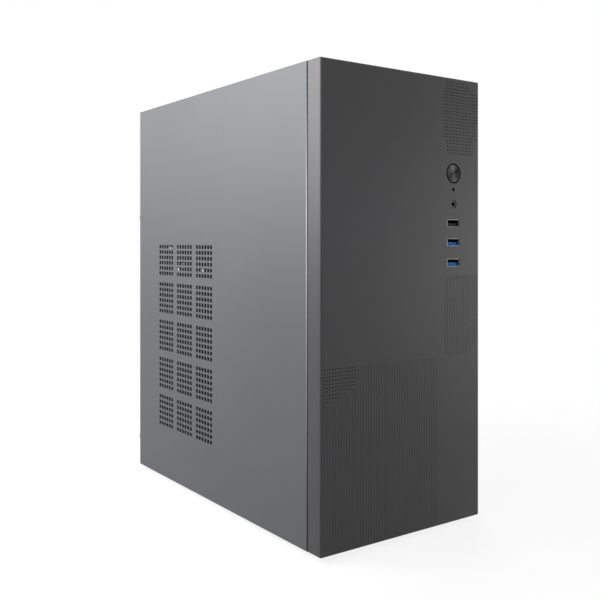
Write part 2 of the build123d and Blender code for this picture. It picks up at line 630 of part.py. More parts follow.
# Thumbscrews that hold the side panels to the rear panel
THUMB_RADIUS = 5.5
THUMB_NOTCH_RADIUS = 0.9
THUMB_NOTCHES = 14
THUMB_EDGE = 0.6
THUMB_SLOT_WIDTH = 1.4
THUMB_SLOT_DEPTH = 2.0
THUMB_BITE = 2.0
THUMB_SHANK_LENGTH = REAR_Y - REAR_INNER_Y + THUMB_BITE


def thumbscrew(x, z):
    """A notched head on the panel with its shank through to the rear panel."""
    seat = Plane((x, REAR_Y, z), x_dir=(1, 0, 0), z_dir=(0, 1, 0))
    with BuildPart(seat) as screw:
        Cylinder(THUMB_RADIUS, THUMB_HEAD_LENGTH, align=UP)
        chamfer(screw.edges().filter_by(GeomType.CIRCLE).sort_by(Axis.Y)[-1], THUMB_EDGE)
        with PolarLocations(THUMB_RADIUS, THUMB_NOTCHES):
            Cylinder(THUMB_NOTCH_RADIUS, 2 * THUMB_HEAD_LENGTH + OVERRUN, mode=Mode.SUBTRACT)
        with Locations((0, 0, THUMB_HEAD_LENGTH)):
            Box(2 * THUMB_RADIUS, THUMB_SLOT_WIDTH, 2 * THUMB_SLOT_DEPTH, mode=Mode.SUBTRACT)
        Cylinder(THUMB_SHANK_RADIUS, THUMB_SHANK_LENGTH, align=DOWN)
    return screw


thumbscrew_left_upper = thumbscrew(-THUMB_X, THUMB_HIGH_Z)
finish(thumbscrew_left_upper, "thumbscrew_left_upper")

thumbscrew_left_lower = thumbscrew(-THUMB_X, THUMB_LOW_Z)
finish(thumbscrew_left_lower, "thumbscrew_left_lower")

thumbscrew_right_upper = thumbscrew(THUMB_X, THUMB_HIGH_Z)
finish(thumbscrew_right_upper, "thumbscrew_right_upper")

thumbscrew_right_lower = thumbscrew(THUMB_X, THUMB_LOW_Z)
finish(thumbscrew_right_lower, "thumbscrew_right_lower")

# Blanking covers behind the card slots, each with a folded tab at its screw end
COVER_HEIGHT = 18.4
COVER_END = 3.0
COVER_TAB = 9.0
COVER_OUTER = 5.0
COVER_X = (SLOT_SCREW_X - COVER_OUTER, SLOT_X[1] + COVER_END)

with BuildPart() as slot_covers:
    for slot_z in SLOT_Z:
        slab(COVER_X, (REAR_INNER_Y - SHEET, REAR_INNER_Y), around(slot_z, COVER_HEIGHT))
        slab((COVER_X[0], COVER_X[0] + SHEET), (REAR_INNER_Y - COVER_TAB, REAR_INNER_Y),
             around(slot_z, COVER_HEIGHT))
        bar_y(SLOT_SCREW_X, (REAR_INNER_Y - SHEET - OVERRUN, REAR_INNER_Y + OVERRUN), slot_z, HOLE_RADIUS,
              Mode.SUBTRACT)
finish(slot_covers, "slot_covers")


# Axial fans: a square housing with an axle on struts, and a rotor with twisted blades
STRUT_DEPTH = 2.0
STRUT_WIDTH = 3.0
STRUT_COUNT = 4
AXLE_RADIUS = 1.5
AXLE_CLEARANCE = 0.05
ROTOR_GAP = 0.6
ROTOR_CAP = 2.0
TIP_GAP = 1.2
HUB_SHARE = 0.4
BLADE_COUNT = 7
BLADE_THICKNESS = 1.4
BLADE_ROOT_PITCH = 48
BLADE_TIP_PITCH = 30
BLADE_ROOT_CHORD_SHARE = 0.42
BLADE_TIP_CHORD_SHARE = 0.6
FAN_HOLE_RADIUS = HOLE_RADIUS


def fan_frame(seat, size, hole_pitch):
    """The housing of a fan; the seat is the plane of its strut side, facing the rotor."""
    bore = size / 2 - FAN_WALL
    with BuildPart(seat) as frame:
        Box(size, size, FAN_DEPTH, align=UP)
        Cylinder(bore, FAN_DEPTH, align=UP, mode=Mode.SUBTRACT)
        with GridLocations(hole_pitch, hole_pitch, 2, 2):
            Cylinder(FAN_HOLE_RADIUS, FAN_DEPTH, align=UP, mode=Mode.SUBTRACT)
        Cylinder(bore * HUB_SHARE, STRUT_DEPTH, align=UP)
        with PolarLocations(0, STRUT_COUNT):
            Box(bore + FAN_WALL / 2, STRUT_WIDTH, STRUT_DEPTH, align=(Align.MIN, Align.CENTER, Align.MIN))
        Cylinder(AXLE_RADIUS, FAN_DEPTH - 2 * ROTOR_CAP, align=UP)
    return frame


def fan_rotor(seat, size):
    """The rotor of a fan on the same seat as its housing."""
    bore = size / 2 - FAN_WALL
    hub = bore * HUB_SHARE
    low = STRUT_DEPTH + ROTOR_GAP
    height = FAN_DEPTH - low - ROTOR_GAP
    root = bore * BLADE_ROOT_CHORD_SHARE
    tip = bore * BLADE_TIP_CHORD_SHARE
    tip_x = sqrt((bore - TIP_GAP) ** 2 - (tip / 2) ** 2)
    across = Plane((0, 0, low + height / 2), x_dir=(0, 1, 0), z_dir=(1, 0, 0))
    with BuildPart() as blade:
        with BuildSketch(across.offset(hub - BLADE_THICKNESS)):
            Rectangle(root, BLADE_THICKNESS, rotation=BLADE_ROOT_PITCH)
        with BuildSketch(across.offset(tip_x)):
            Rectangle(tip, BLADE_THICKNESS, rotation=BLADE_TIP_PITCH)
        loft()
    with BuildPart(seat) as rotor:
        with Locations((0, 0, low)):
            Cylinder(hub, height, align=UP)
        with PolarLocations(0, BLADE_COUNT):
            add(blade.part)
        Cylinder(AXLE_RADIUS + AXLE_CLEARANCE, FAN_DEPTH - 2 * ROTOR_CAP + ROTOR_GAP, align=UP,
                 mode=Mode.SUBTRACT)
    return rotor


rear_fan_seat = Plane((REAR_FAN_X, REAR_INNER_Y, REAR_FAN_Z), x_dir=(1, 0, 0), z_dir=(0, -1, 0))

rear_fan_frame = fan_frame(rear_fan_seat, FAN_SIZE, FAN_HOLE_PITCH)
finish(rear_fan_frame, "rear_fan_frame")

rear_fan_rotor = fan_rotor(rear_fan_seat, FAN_SIZE)
finish(rear_fan_rotor, "rear_fan_rotor")

# Power supply: a tray with end walls, closed by a lid that forms the top and sides
PSU_FAN_SIZE = 120.0
PSU_FAN_HOLE_INSET = 7.5
PSU_FAN_HOLE_PITCH = PSU_FAN_SIZE - 2 * PSU_FAN_HOLE_INSET
PSU_GRILLE_HOLE = 8.0
PSU_GRILLE_PITCH = 10.5
PSU_GRILLE_BORDER = 5.0
PSU_GRILLE_REACH = PSU_FAN_SIZE / 2 - PSU_GRILLE_BORDER
INLET_WIDTH = 27.0
INLET_HEIGHT = 19.6
INLET_SIDE = 35.0
INLET_X = PSU_HALF - INLET_SIDE
INLET_RISE = 60.0
INLET_Z = PSU_LOW_Z + INLET_RISE
INLET_FIT = 0.2
ROCKER_WELL_WIDTH = 17.0
ROCKER_WELL_HEIGHT = 22.0
ROCKER_SHIFT = 30.0
ROCKER_X = INLET_X - ROCKER_SHIFT
EXHAUST_HOLE = 6.0
EXHAUST_PITCH = 8.0
EXHAUST_COLUMNS = 6
EXHAUST_ROWS = 6
EXHAUST_SIDE = 41.0
EXHAUST_X = EXHAUST_SIDE - PSU_HALF
GLAND_SIDE = 17.0
GLAND_X = GLAND_SIDE - PSU_HALF
GLAND_RISE = 40.0
GLAND_Z = PSU_LOW_Z + GLAND_RISE
GLAND_RADIUS = 11.0
GLAND_FIT = 0.1
PSU_FAN_Y = (PSU_FRONT_Y + REAR_INNER_Y) / 2

with BuildPart() as psu_shell:
    slab((SHEET - PSU_HALF, PSU_HALF - SHEET), (PSU_FRONT_Y, REAR_INNER_Y), (PSU_LOW_Z, PSU_HIGH_Z - SHEET))
    slab((-PSU_HALF, PSU_HALF), (PSU_FRONT_Y + SHEET, REAR_INNER_Y - SHEET),
         (PSU_LOW_Z + SHEET, PSU_HIGH_Z), Mode.SUBTRACT)
    with BuildSketch(facing_front(REAR_INNER_Y)):
        with Locations((INLET_X, INLET_Z)):
            Rectangle(INLET_WIDTH + 2 * INLET_FIT, INLET_HEIGHT + 2 * INLET_FIT)
        with Locations((ROCKER_X, INLET_Z)):
            Rectangle(ROCKER_WELL_WIDTH + 2 * INLET_FIT, ROCKER_WELL_HEIGHT + 2 * INLET_FIT)
        with Locations((EXHAUST_X, PSU_MID_Z)):
            with GridLocations(EXHAUST_PITCH, EXHAUST_PITCH, EXHAUST_COLUMNS, EXHAUST_ROWS):
                Rectangle(EXHAUST_HOLE, EXHAUST_HOLE)
        with Locations(*PSU_SCREWS):
            Circle(HOLE_RADIUS)
    extrude(amount=SHEET, mode=Mode.SUBTRACT)
    with BuildSketch(Plane.XY.offset(PSU_LOW_Z)):
        with Locations((0, PSU_FAN_Y)):
            with Locations(*grille_places(PSU_GRILLE_REACH - PSU_GRILLE_HOLE / 2, PSU_GRILLE_PITCH)):
                Rectangle(PSU_GRILLE_HOLE, PSU_GRILLE_HOLE)
    extrude(amount=SHEET, mode=Mode.SUBTRACT)
    bar_y(GLAND_X, (PSU_FRONT_Y - OVERRUN, PSU_FRONT_Y + SHEET + OVERRUN), GLAND_Z, GLAND_RADIUS + GLAND_FIT,
          Mode.SUBTRACT)
finish(psu_shell, "psu_shell")

# Bushing in the front wall, where the wires of the power supply come out
GLAND_FLANGE = 1.5
GLAND_BORDER = 2.5
GLAND_WALL = 2.0
GLAND_BACK = 1.2

with BuildPart() as psu_gland:
    flange_y = PSU_FRONT_Y - GLAND_FLANGE
    end_y = PSU_FRONT_Y + SHEET + GLAND_BACK
    bar_y(GLAND_X, (flange_y, PSU_FRONT_Y), GLAND_Z, GLAND_RADIUS + GLAND_BORDER)
    bar_y(GLAND_X, (PSU_FRONT_Y, end_y), GLAND_Z, GLAND_RADIUS)
    bar_y(GLAND_X, (flange_y - OVERRUN, end_y + OVERRUN), GLAND_Z, GLAND_RADIUS - GLAND_WALL, Mode.SUBTRACT)
finish(psu_gland, "psu_gland")

with BuildPart() as psu_lid:
    slab((-PSU_HALF, PSU_HALF), (PSU_FRONT_Y, REAR_INNER_Y), (PSU_LOW_Z, PSU_HIGH_Z))
    slab((SHEET - PSU_HALF, PSU_HALF - SHEET), (PSU_FRONT_Y - OVERRUN, REAR_INNER_Y + OVERRUN),
         (PSU_LOW_Z - OVERRUN, PSU_HIGH_Z - SHEET), Mode.SUBTRACT)
finish(psu_lid, "psu_lid")

psu_fan_seat = Plane((0, PSU_FAN_Y, PSU_LOW_Z + SHEET + FAN_DEPTH), x_dir=(1, 0, 0), z_dir=(0, 0, -1))

psu_fan_frame = fan_frame(psu_fan_seat, PSU_FAN_SIZE, PSU_FAN_HOLE_PITCH)
finish(psu_fan_frame, "psu_fan_frame")

psu_fan_rotor = fan_rotor(psu_fan_seat, PSU_FAN_SIZE)
finish(psu_fan_rotor, "psu_fan_rotor")

# Mains inlet: a moulded socket with a flange outside and three blades inside
INLET_FLANGE = 2.0
INLET_FLANGE_BORDER = 2.0
INLET_DEPTH = 16.0
INLET_BACK = 2.0
INLET_WALL = 1.6
BLADE_WIDTH = 2.0
BLADE_HEIGHT = 4.0
BLADE_SET_BACK = 5.0
BLADE_SPREAD = 7.0
BLADE_RISE = 1.7
INLET_MOUTH_Y = REAR_INNER_Y + INLET_FLANGE
INLET_FLOOR_Y = INLET_MOUTH_Y - INLET_DEPTH

with BuildPart() as psu_inlet:
    slab(around(INLET_X, INLET_WIDTH + 2 * INLET_FLANGE_BORDER), (REAR_INNER_Y, INLET_MOUTH_Y),
         around(INLET_Z, INLET_HEIGHT + 2 * INLET_FLANGE_BORDER))
    slab(around(INLET_X, INLET_WIDTH), (INLET_FLOOR_Y - INLET_BACK, REAR_INNER_Y),
         around(INLET_Z, INLET_HEIGHT))
    slab(around(INLET_X, INLET_WIDTH - 2 * INLET_WALL), (INLET_FLOOR_Y, INLET_MOUTH_Y + OVERRUN),
         around(INLET_Z, INLET_HEIGHT - 2 * INLET_WALL), Mode.SUBTRACT)
    for blade_x, blade_z in ((-BLADE_SPREAD, -BLADE_RISE), (0, BLADE_RISE), (BLADE_SPREAD, -BLADE_RISE)):
        slab(around(INLET_X + blade_x, BLADE_WIDTH), (INLET_FLOOR_Y, INLET_MOUTH_Y - BLADE_SET_BACK),
             around(INLET_Z + blade_z, BLADE_HEIGHT))
finish(psu_inlet, "psu_inlet")

# Mains switch: a well in the rear wall and a rocker on two pivots, drawn switched on
WELL_WALL = 2.0
WELL_DEPTH = 9.0
WELL_FLOOR = 2.0
WELL_BORDER = 1.5
ROCKER_ROOM = 0.3
ROCKER_END_ROOM = 0.8
ROCKER_PIVOT_RADIUS = 1.0
ROCKER_PIVOT_REACH = 0.9
ROCKER_PIVOT_CLEARANCE = 0.05
ROCKER_PIVOT_SINK = 1.5
ROCKER_RIDGE = 2.6
ROCKER_WING = 4.4
ROCKER_SKIRT = 1.6
ROCKER_KEEL = 3.0
ROCKER_TILT = 8
ROCKER_PIVOT_Y = REAR_INNER_Y - ROCKER_PIVOT_SINK
WELL_INNER_HALF = ROCKER_WELL_WIDTH / 2 - WELL_WALL

with BuildPart() as psu_switch_frame:
    slab(around(ROCKER_X, ROCKER_WELL_WIDTH + 2 * WELL_BORDER), (REAR_INNER_Y, REAR_INNER_Y + WELL_BORDER),
         around(INLET_Z, ROCKER_WELL_HEIGHT + 2 * WELL_BORDER))
    slab(around(ROCKER_X, ROCKER_WELL_WIDTH), (REAR_INNER_Y - WELL_DEPTH, REAR_INNER_Y),
         around(INLET_Z, ROCKER_WELL_HEIGHT))
    slab(around(ROCKER_X, 2 * WELL_INNER_HALF),
         (REAR_INNER_Y - WELL_DEPTH + WELL_FLOOR, REAR_INNER_Y + OVERRUN),
         around(INLET_Z, ROCKER_WELL_HEIGHT - 2 * WELL_WALL), Mode.SUBTRACT)
    pivot_reach = WELL_INNER_HALF + ROCKER_PIVOT_REACH + ROCKER_PIVOT_CLEARANCE
    bar_x(around(ROCKER_X, 2 * pivot_reach), ROCKER_PIVOT_Y, INLET_Z,
          ROCKER_PIVOT_RADIUS + ROCKER_PIVOT_CLEARANCE, Mode.SUBTRACT)
finish(psu_switch_frame, "psu_switch_frame")

ROCKER_HALF_LENGTH = ROCKER_WELL_HEIGHT / 2 - WELL_WALL - ROCKER_END_ROOM
rocker_out = (0, cos(radians(ROCKER_TILT)), sin(radians(ROCKER_TILT)))
rocker_plane = Plane((ROCKER_X, ROCKER_PIVOT_Y, INLET_Z), x_dir=rocker_out, z_dir=(1, 0, 0))

with BuildPart() as psu_rocker:
    with BuildSketch(rocker_plane):
        with BuildLine():
            Polyline(
                (ROCKER_RIDGE, 0),
                (ROCKER_WING, ROCKER_HALF_LENGTH),
                (ROCKER_WING - ROCKER_SKIRT, ROCKER_HALF_LENGTH),
                (-ROCKER_KEEL, 0),
                (ROCKER_WING - ROCKER_SKIRT, -ROCKER_HALF_LENGTH),
                (ROCKER_WING, -ROCKER_HALF_LENGTH),
                close=True,
            )
        make_face()
    extrude(amount=WELL_INNER_HALF - ROCKER_ROOM, both=True)
    bar_x(around(ROCKER_X, 2 * (WELL_INNER_HALF + ROCKER_PIVOT_REACH)), ROCKER_PIVOT_Y, INLET_Z,
          ROCKER_PIVOT_RADIUS)
finish(psu_rocker, "psu_rocker")

# Power supply board, hung on posts under the lid with its parts below
PSU_POST = 6.0
PSU_POST_RADIUS = 3.0
PSU_POST_INSET = 16.0
PSU_POST_PITCH = 70.0
PSU_BOARD_MARGIN_X = 8.0
PSU_BOARD_FRONT = 8.0
PSU_BOARD_REAR = 32.0
TRANSFORMER = 32.0
TRANSFORMER_DROP = 26.0
PSU_COIL_RADIUS = 11.0
PSU_COIL_DROP = 24.0
PSU_COIL_SPREAD = 64.0
PSU_COIL_PITCH = 33.0
FIN_THICKNESS = 3.0
FIN_DROP = 28.0
FIN_LENGTH = 70.0
FIN_ROOM = 6.0
PSU_BOARD_UNDER_Z = PSU_HIGH_Z - SHEET - PSU_POST - BOARD_THICKNESS
PSU_BOARD_X = (PSU_BOARD_MARGIN_X - PSU_HALF, PSU_HALF - PSU_BOARD_MARGIN_X)
PSU_BOARD_Y = (PSU_FRONT_Y + PSU_BOARD_FRONT, REAR_INNER_Y - PSU_BOARD_REAR)

with BuildPart() as psu_board:
    slab(PSU_BOARD_X, PSU_BOARD_Y, (PSU_BOARD_UNDER_Z, PSU_BOARD_UNDER_Z + BOARD_THICKNESS))
    with Locations((0, sum(PSU_BOARD_Y) / 2, PSU_BOARD_UNDER_Z + BOARD_THICKNESS)):
        with GridLocations(PSU_WIDTH - 2 * PSU_POST_INSET, PSU_POST_PITCH, 2, 2):
            Cylinder(PSU_POST_RADIUS, PSU_POST, align=UP)
    with Locations((0, sum(PSU_BOARD_Y) / 2, PSU_BOARD_UNDER_Z)):
        Box(TRANSFORMER, TRANSFORMER, TRANSFORMER_DROP, align=DOWN)
        with GridLocations(PSU_COIL_SPREAD, PSU_COIL_PITCH, 2, 2):
            Cylinder(PSU_COIL_RADIUS, PSU_COIL_DROP, align=DOWN)
        with GridLocations(TRANSFORMER + 2 * FIN_ROOM, 0, 2, 1):
            Box(FIN_THICKNESS, FIN_LENGTH, FIN_DROP, align=DOWN)
finish(psu_board, "psu_board")

# Mainboard, its standoffs and the pieces that stand on it. Places on the board are
# measured forward from its rear edge and up from its lower edge.
STANDOFF_RADIUS = 3.2
STANDOFF_BORE = HOLE_RADIUS
STANDOFF_REAR = 26.0
STANDOFF_FRONT = 19.0
STANDOFF_SPAN = BOARD_DEPTH - STANDOFF_REAR - STANDOFF_FRONT
STANDOFF_LOW = 8.0
STANDOFF_RISE = (BOARD_LENGTH - 2 * STANDOFF_LOW) / 2
BOARD_HOLES = [
    (BOARD_REAR_Y - STANDOFF_REAR - column * STANDOFF_SPAN,
     BOARD_LOW_Z + STANDOFF_LOW + row * STANDOFF_RISE)
    for column in range(2)
    for row in range(3)
]


def on_board(forward, up, depth, length, height, base=0, mode=Mode.ADD):
    """Add a block standing on the face of the mainboard to the part being built."""
    face = BOARD_FACE_X - base
    slab((face - height, face), around(BOARD_REAR_Y - forward, depth), around(BOARD_LOW_Z + up, length),
         mode)


with BuildPart() as mainboard:
    slab((BOARD_FACE_X, BOARD_BACK_X), (BOARD_FRONT_Y, BOARD_REAR_Y), (BOARD_LOW_Z, BOARD_HIGH_Z))
    for hole_y, hole_z in BOARD_HOLES:
        bar_x((BOARD_FACE_X - OVERRUN, BOARD_BACK_X + OVERRUN), hole_y, hole_z, HOLE_RADIUS, Mode.SUBTRACT)
finish(mainboard, "mainboard")

with BuildPart() as standoffs:
    with BuildSketch(Plane.YZ.offset(BOARD_BACK_X)):
        with Locations(*BOARD_HOLES):
            RegularPolygon(STANDOFF_RADIUS, 6)
            Circle(STANDOFF_BORE, mode=Mode.SUBTRACT)
    extrude(amount=STANDOFF_HEIGHT)
finish(standoffs, "standoffs")

# Processor in its socket, under a finned block with a fan
CPU_FORWARD = 90.0
CPU_DOWN = 65.0
CPU_UP = BOARD_LENGTH - CPU_DOWN
SOCKET_SIZE = 45.0
SOCKET_HEIGHT = 5.0
CHIP_SIZE = 37.5
CHIP_SINK = 2.0
CHIP_CAP = 30.0
CHIP_CAP_HEIGHT = 2.4
SINK_SIZE = 82.0
SINK_BASE = 6.0
SINK_FIN = 24.0
SINK_FIN_THICKNESS = 1.2
SINK_FIN_COUNT = 20
SINK_POST_RADIUS = 3.0
SINK_POST_INSET = 5.25
SINK_POST_REACH = SINK_SIZE / 2 - SINK_POST_INSET
SINK_BACK_X = BOARD_FACE_X - SOCKET_HEIGHT - CHIP_CAP_HEIGHT
SINK_FRONT_X = SINK_BACK_X - SINK_BASE - SINK_FIN
CPU_Y = BOARD_REAR_Y - CPU_FORWARD
CPU_Z = BOARD_LOW_Z + CPU_UP

with BuildPart() as cpu_socket:
    on_board(CPU_FORWARD, CPU_UP, SOCKET_SIZE, SOCKET_SIZE, SOCKET_HEIGHT)
    on_board(CPU_FORWARD, CPU_UP, CHIP_SIZE, CHIP_SIZE, CHIP_SINK, SOCKET_HEIGHT - CHIP_SINK, Mode.SUBTRACT)
finish(cpu_socket, "cpu_socket")

with BuildPart() as processor:
    on_board(CPU_FORWARD, CPU_UP, CHIP_SIZE, CHIP_SIZE, CHIP_SINK, SOCKET_HEIGHT - CHIP_SINK)
    on_board(CPU_FORWARD, CPU_UP, CHIP_CAP, CHIP_CAP, CHIP_CAP_HEIGHT, SOCKET_HEIGHT)
finish(processor, "processor")

SINK_FIN_PITCH = (SINK_SIZE - SINK_FIN_THICKNESS) / (SINK_FIN_COUNT - 1)

with BuildPart() as cpu_heatsink:
    slab((SINK_BACK_X - SINK_BASE, SINK_BACK_X), around(CPU_Y, SINK_SIZE), around(CPU_Z, SINK_SIZE))
    with BuildSketch(Plane.YZ.offset(SINK_FRONT_X)):
        with Locations((CPU_Y, CPU_Z)):
            with GridLocations(SINK_FIN_PITCH, 0, SINK_FIN_COUNT, 1):
                Rectangle(SINK_FIN_THICKNESS, SINK_SIZE)
    extrude(amount=SINK_FIN)
    for across in (-1, 1):
        for up in (-1, 1):
            bar_x((SINK_BACK_X, BOARD_FACE_X), CPU_Y + across * SINK_POST_REACH,
                  CPU_Z + up * SINK_POST_REACH, SINK_POST_RADIUS)
finish(cpu_heatsink, "cpu_heatsink")

cpu_fan_seat = Plane((SINK_FRONT_X, CPU_Y, CPU_Z), x_dir=(0, 1, 0), z_dir=(-1, 0, 0))

cpu_fan_frame = fan_frame(cpu_fan_seat, FAN_SIZE, FAN_HOLE_PITCH)
finish(cpu_fan_frame, "cpu_fan_frame")

cpu_fan_rotor = fan_rotor(cpu_fan_seat, FAN_SIZE)
finish(cpu_fan_rotor, "cpu_fan_rotor")

# Memory: two slots with end latches, and a module of chips in each
MEMORY_FORWARD = (160.0, 170.0)
MEMORY_DOWN = 94.0
MEMORY_UP = BOARD_LENGTH - MEMORY_DOWN
MEMORY_SLOT_LENGTH = 142.0
MEMORY_SLOT_WIDTH = 7.0
MEMORY_SLOT_HEIGHT = 8.0
MEMORY_LATCH = 5.0
MEMORY_LATCH_HEIGHT = 18.0
MEMORY_LENGTH = 131.0
MEMORY_HEIGHT = 31.0
MEMORY_THICKNESS = 1.3
MEMORY_SINK = 5.0
MEMORY_FIT = 0.1
CHIP_LENGTH = 11.0
CHIP_HEIGHT = 9.0
CHIP_THICKNESS = 1.0
CHIP_RISE = 12.0
CHIP_COUNT = 8
CHIP_PITCH = 15.5
MEMORY_FLOOR = MEMORY_SLOT_HEIGHT - MEMORY_SINK

with BuildPart() as memory_slots:
    for forward in MEMORY_FORWARD:
        on_board(forward, MEMORY_UP, MEMORY_SLOT_WIDTH, MEMORY_SLOT_LENGTH, MEMORY_SLOT_HEIGHT)
        for end in (-1, 1):
            on_board(forward, MEMORY_UP + end * (MEMORY_SLOT_LENGTH - MEMORY_LATCH) / 2, MEMORY_SLOT_WIDTH,
                     MEMORY_LATCH, MEMORY_LATCH_HEIGHT)
        on_board(forward, MEMORY_UP, MEMORY_THICKNESS + 2 * MEMORY_FIT, MEMORY_LENGTH + 2 * MEMORY_FIT,
                 MEMORY_SINK, MEMORY_FLOOR, Mode.SUBTRACT)
finish(memory_slots, "memory_slots")


def memory_module(forward):
    """A memory board standing in the slot at a place on the mainboard."""
    with BuildPart() as module:
        on_board(forward, MEMORY_UP, MEMORY_THICKNESS, MEMORY_LENGTH, MEMORY_HEIGHT, MEMORY_FLOOR)
        for index in range(CHIP_COUNT):
            up = MEMORY_UP + (index - (CHIP_COUNT - 1) / 2) * CHIP_PITCH
            on_board(forward, up, MEMORY_THICKNESS + 2 * CHIP_THICKNESS, CHIP_LENGTH, CHIP_HEIGHT,
                     MEMORY_FLOOR + CHIP_RISE)
    return module


memory_module_1 = memory_module(MEMORY_FORWARD[0])
finish(memory_module_1, "memory_module_1")

memory_module_2 = memory_module(MEMORY_FORWARD[1])
finish(memory_module_2, "memory_module_2")

# Card sockets in line with the rear slots, one long and two short
CARD_SOCKET_WIDTH = 7.5
CARD_SOCKET_HEIGHT = 11.0
CARD_GROOVE = 1.8
CARD_GROOVE_DEPTH = 7.0
CARD_GROOVE_END = 2.0
CARD_REAR = 50.0
CARD_LONG = 89.0
CARD_SHORT = 25.0
CARD_SOCKETS = ((SLOT_Z[0], CARD_LONG), (SLOT_Z[1], CARD_SHORT), (SLOT_Z[3], CARD_SHORT))

with BuildPart() as expansion_slots:
    for socket_z, length in CARD_SOCKETS:
        middle = CARD_REAR + length / 2
        up = socket_z - BOARD_LOW_Z
        on_board(middle, up, length, CARD_SOCKET_WIDTH, CARD_SOCKET_HEIGHT)
        on_board(middle, up, length - 2 * CARD_GROOVE_END, CARD_GROOVE, CARD_GROOVE_DEPTH,
                 CARD_SOCKET_HEIGHT - CARD_GROOVE_DEPTH, Mode.SUBTRACT)
finish(expansion_slots, "expansion_slots")

# Chipset cooler, coils, capacitors and the clock cell
CHIPSET_FORWARD = 150.0
CHIPSET_UP = 31.0
CHIPSET_SIZE = 36.0
CHIPSET_BASE = 4.0
CHIPSET_FIN = 8.0
CHIPSET_FIN_THICKNESS = 2.0
CHIPSET_FIN_PITCH = 4.86
CHIPSET_FIN_COUNT = 8

with BuildPart() as chipset_heatsink:
    on_board(CHIPSET_FORWARD, CHIPSET_UP, CHIPSET_SIZE, CHIPSET_SIZE, CHIPSET_BASE)
    for index in range(CHIPSET_FIN_COUNT):
        up = CHIPSET_UP + (index - (CHIPSET_FIN_COUNT - 1) / 2) * CHIPSET_FIN_PITCH
        on_board(CHIPSET_FORWARD, up, CHIPSET_SIZE, CHIPSET_FIN_THICKNESS, CHIPSET_FIN, CHIPSET_BASE)
finish(chipset_heatsink, "chipset_heatsink")

COIL_PITCH = 13.0
COIL_COUNT = 6
COIL_SIZE = 10.0
COIL_HEIGHT = 8.0
COIL_EDGE = 1.0
COIL_ROOM = 3.0
COIL_DOWN = 99.0
COIL_FORWARD = CPU_FORWARD - SINK_SIZE / 2 - COIL_ROOM - COIL_SIZE / 2
COIL_UP = BOARD_LENGTH - COIL_DOWN

with BuildPart() as power_chokes:
    for index in range(COIL_COUNT):
        on_board(COIL_FORWARD, COIL_UP + index * COIL_PITCH, COIL_SIZE, COIL_SIZE, COIL_HEIGHT)
    chamfer(power_chokes.edges().group_by(Axis.X)[0], COIL_EDGE)
finish(power_chokes, "power_chokes")

CAN_RADIUS = 3.15
CAN_HEIGHT = 9.0
CAN_EDGE = 0.5
CAN_FORWARD = 78.0
CAN_PITCH = 12.0
CAN_COUNT = 5
CAN_ROOM = 4.85
CAN_UP = CPU_UP + SINK_SIZE / 2 + CAN_ROOM + CAN_RADIUS

with BuildPart() as capacitors:
    for index in range(CAN_COUNT):
        bar_x((BOARD_FACE_X - CAN_HEIGHT, BOARD_FACE_X), BOARD_REAR_Y - CAN_FORWARD - index * CAN_PITCH,
              BOARD_LOW_Z + CAN_UP, CAN_RADIUS)
    chamfer(capacitors.edges().group_by(Axis.X)[0], CAN_EDGE)
finish(capacitors, "capacitors")

CELL_RADIUS = 10.0
CELL_HEIGHT = 5.0
CELL_FORWARD = 110.0
CELL_UP = 96.0

with BuildPart() as coin_cell:
    bar_x((BOARD_FACE_X - CELL_HEIGHT, BOARD_FACE_X), BOARD_REAR_Y - CELL_FORWARD, BOARD_LOW_Z + CELL_UP,
          CELL_RADIUS)
finish(coin_cell, "coin_cell")

# Power sockets and signal headers along the front and upper edges of the board
ATX_FORWARD = 197.0
ATX_DOWN = 49.0
ATX_UP = BOARD_LENGTH - ATX_DOWN
ATX_WIDTH = 10.0
ATX_LENGTH = 52.0
ATX_HEIGHT = 12.0
CPU_SOCKET_FORWARD = 60.0
CPU_SOCKET_DOWN = 8.0
CPU_SOCKET_UP = BOARD_LENGTH - CPU_SOCKET_DOWN
CPU_SOCKET_DEPTH = 18.0
CPU_SOCKET_LENGTH = 9.0
SATA_FORWARD = 197.0
SATA_UP = 40.0
SATA_PITCH = 20.0
SATA_COUNT = 4
SATA_WIDTH = 8.0
SATA_LENGTH = 16.0
SATA_HEIGHT = 9.0
HEADER_FORWARD = 155.0
HEADER_UP = 8.0
HEADER_DEPTH = 22.0
HEADER_LENGTH = 7.0

with BuildPart() as power_sockets:
    on_board(ATX_FORWARD, ATX_UP, ATX_WIDTH, ATX_LENGTH, ATX_HEIGHT)
    on_board(CPU_SOCKET_FORWARD, CPU_SOCKET_UP, CPU_SOCKET_DEPTH, CPU_SOCKET_LENGTH, ATX_HEIGHT)
finish(power_sockets, "power_sockets")

with BuildPart() as board_headers:
    for index in range(SATA_COUNT):
        on_board(SATA_FORWARD, SATA_UP + index * SATA_PITCH, SATA_WIDTH, SATA_LENGTH, SATA_HEIGHT)
    on_board(HEADER_FORWARD, HEADER_UP, HEADER_DEPTH, HEADER_LENGTH, SATA_HEIGHT)
finish(board_headers, "board_headers")

# Rear sockets: blocks on the rear edge of the board, opening through the shield
PORT_DEPTH = 20.0
PORT_POCKET = 12.0
PORT_LIP = 0.8
STACK_WIDTH = 15.0
STACK_USB_HEIGHT = 8.0
STACK_TONGUE = 2.0
STACK_TONGUE_BACK = 1.5
STACK_TONGUE_MARGIN = 1.6
PORT_Y = (BOARD_REAR_Y - PORT_DEPTH, REAR_FACE_Y)
POCKET_Y = (REAR_FACE_Y - PORT_POCKET, REAR_FACE_Y + OVERRUN)
TONGUE_Y = (REAR_FACE_Y - PORT_POCKET, REAR_FACE_Y - STACK_TONGUE_BACK)

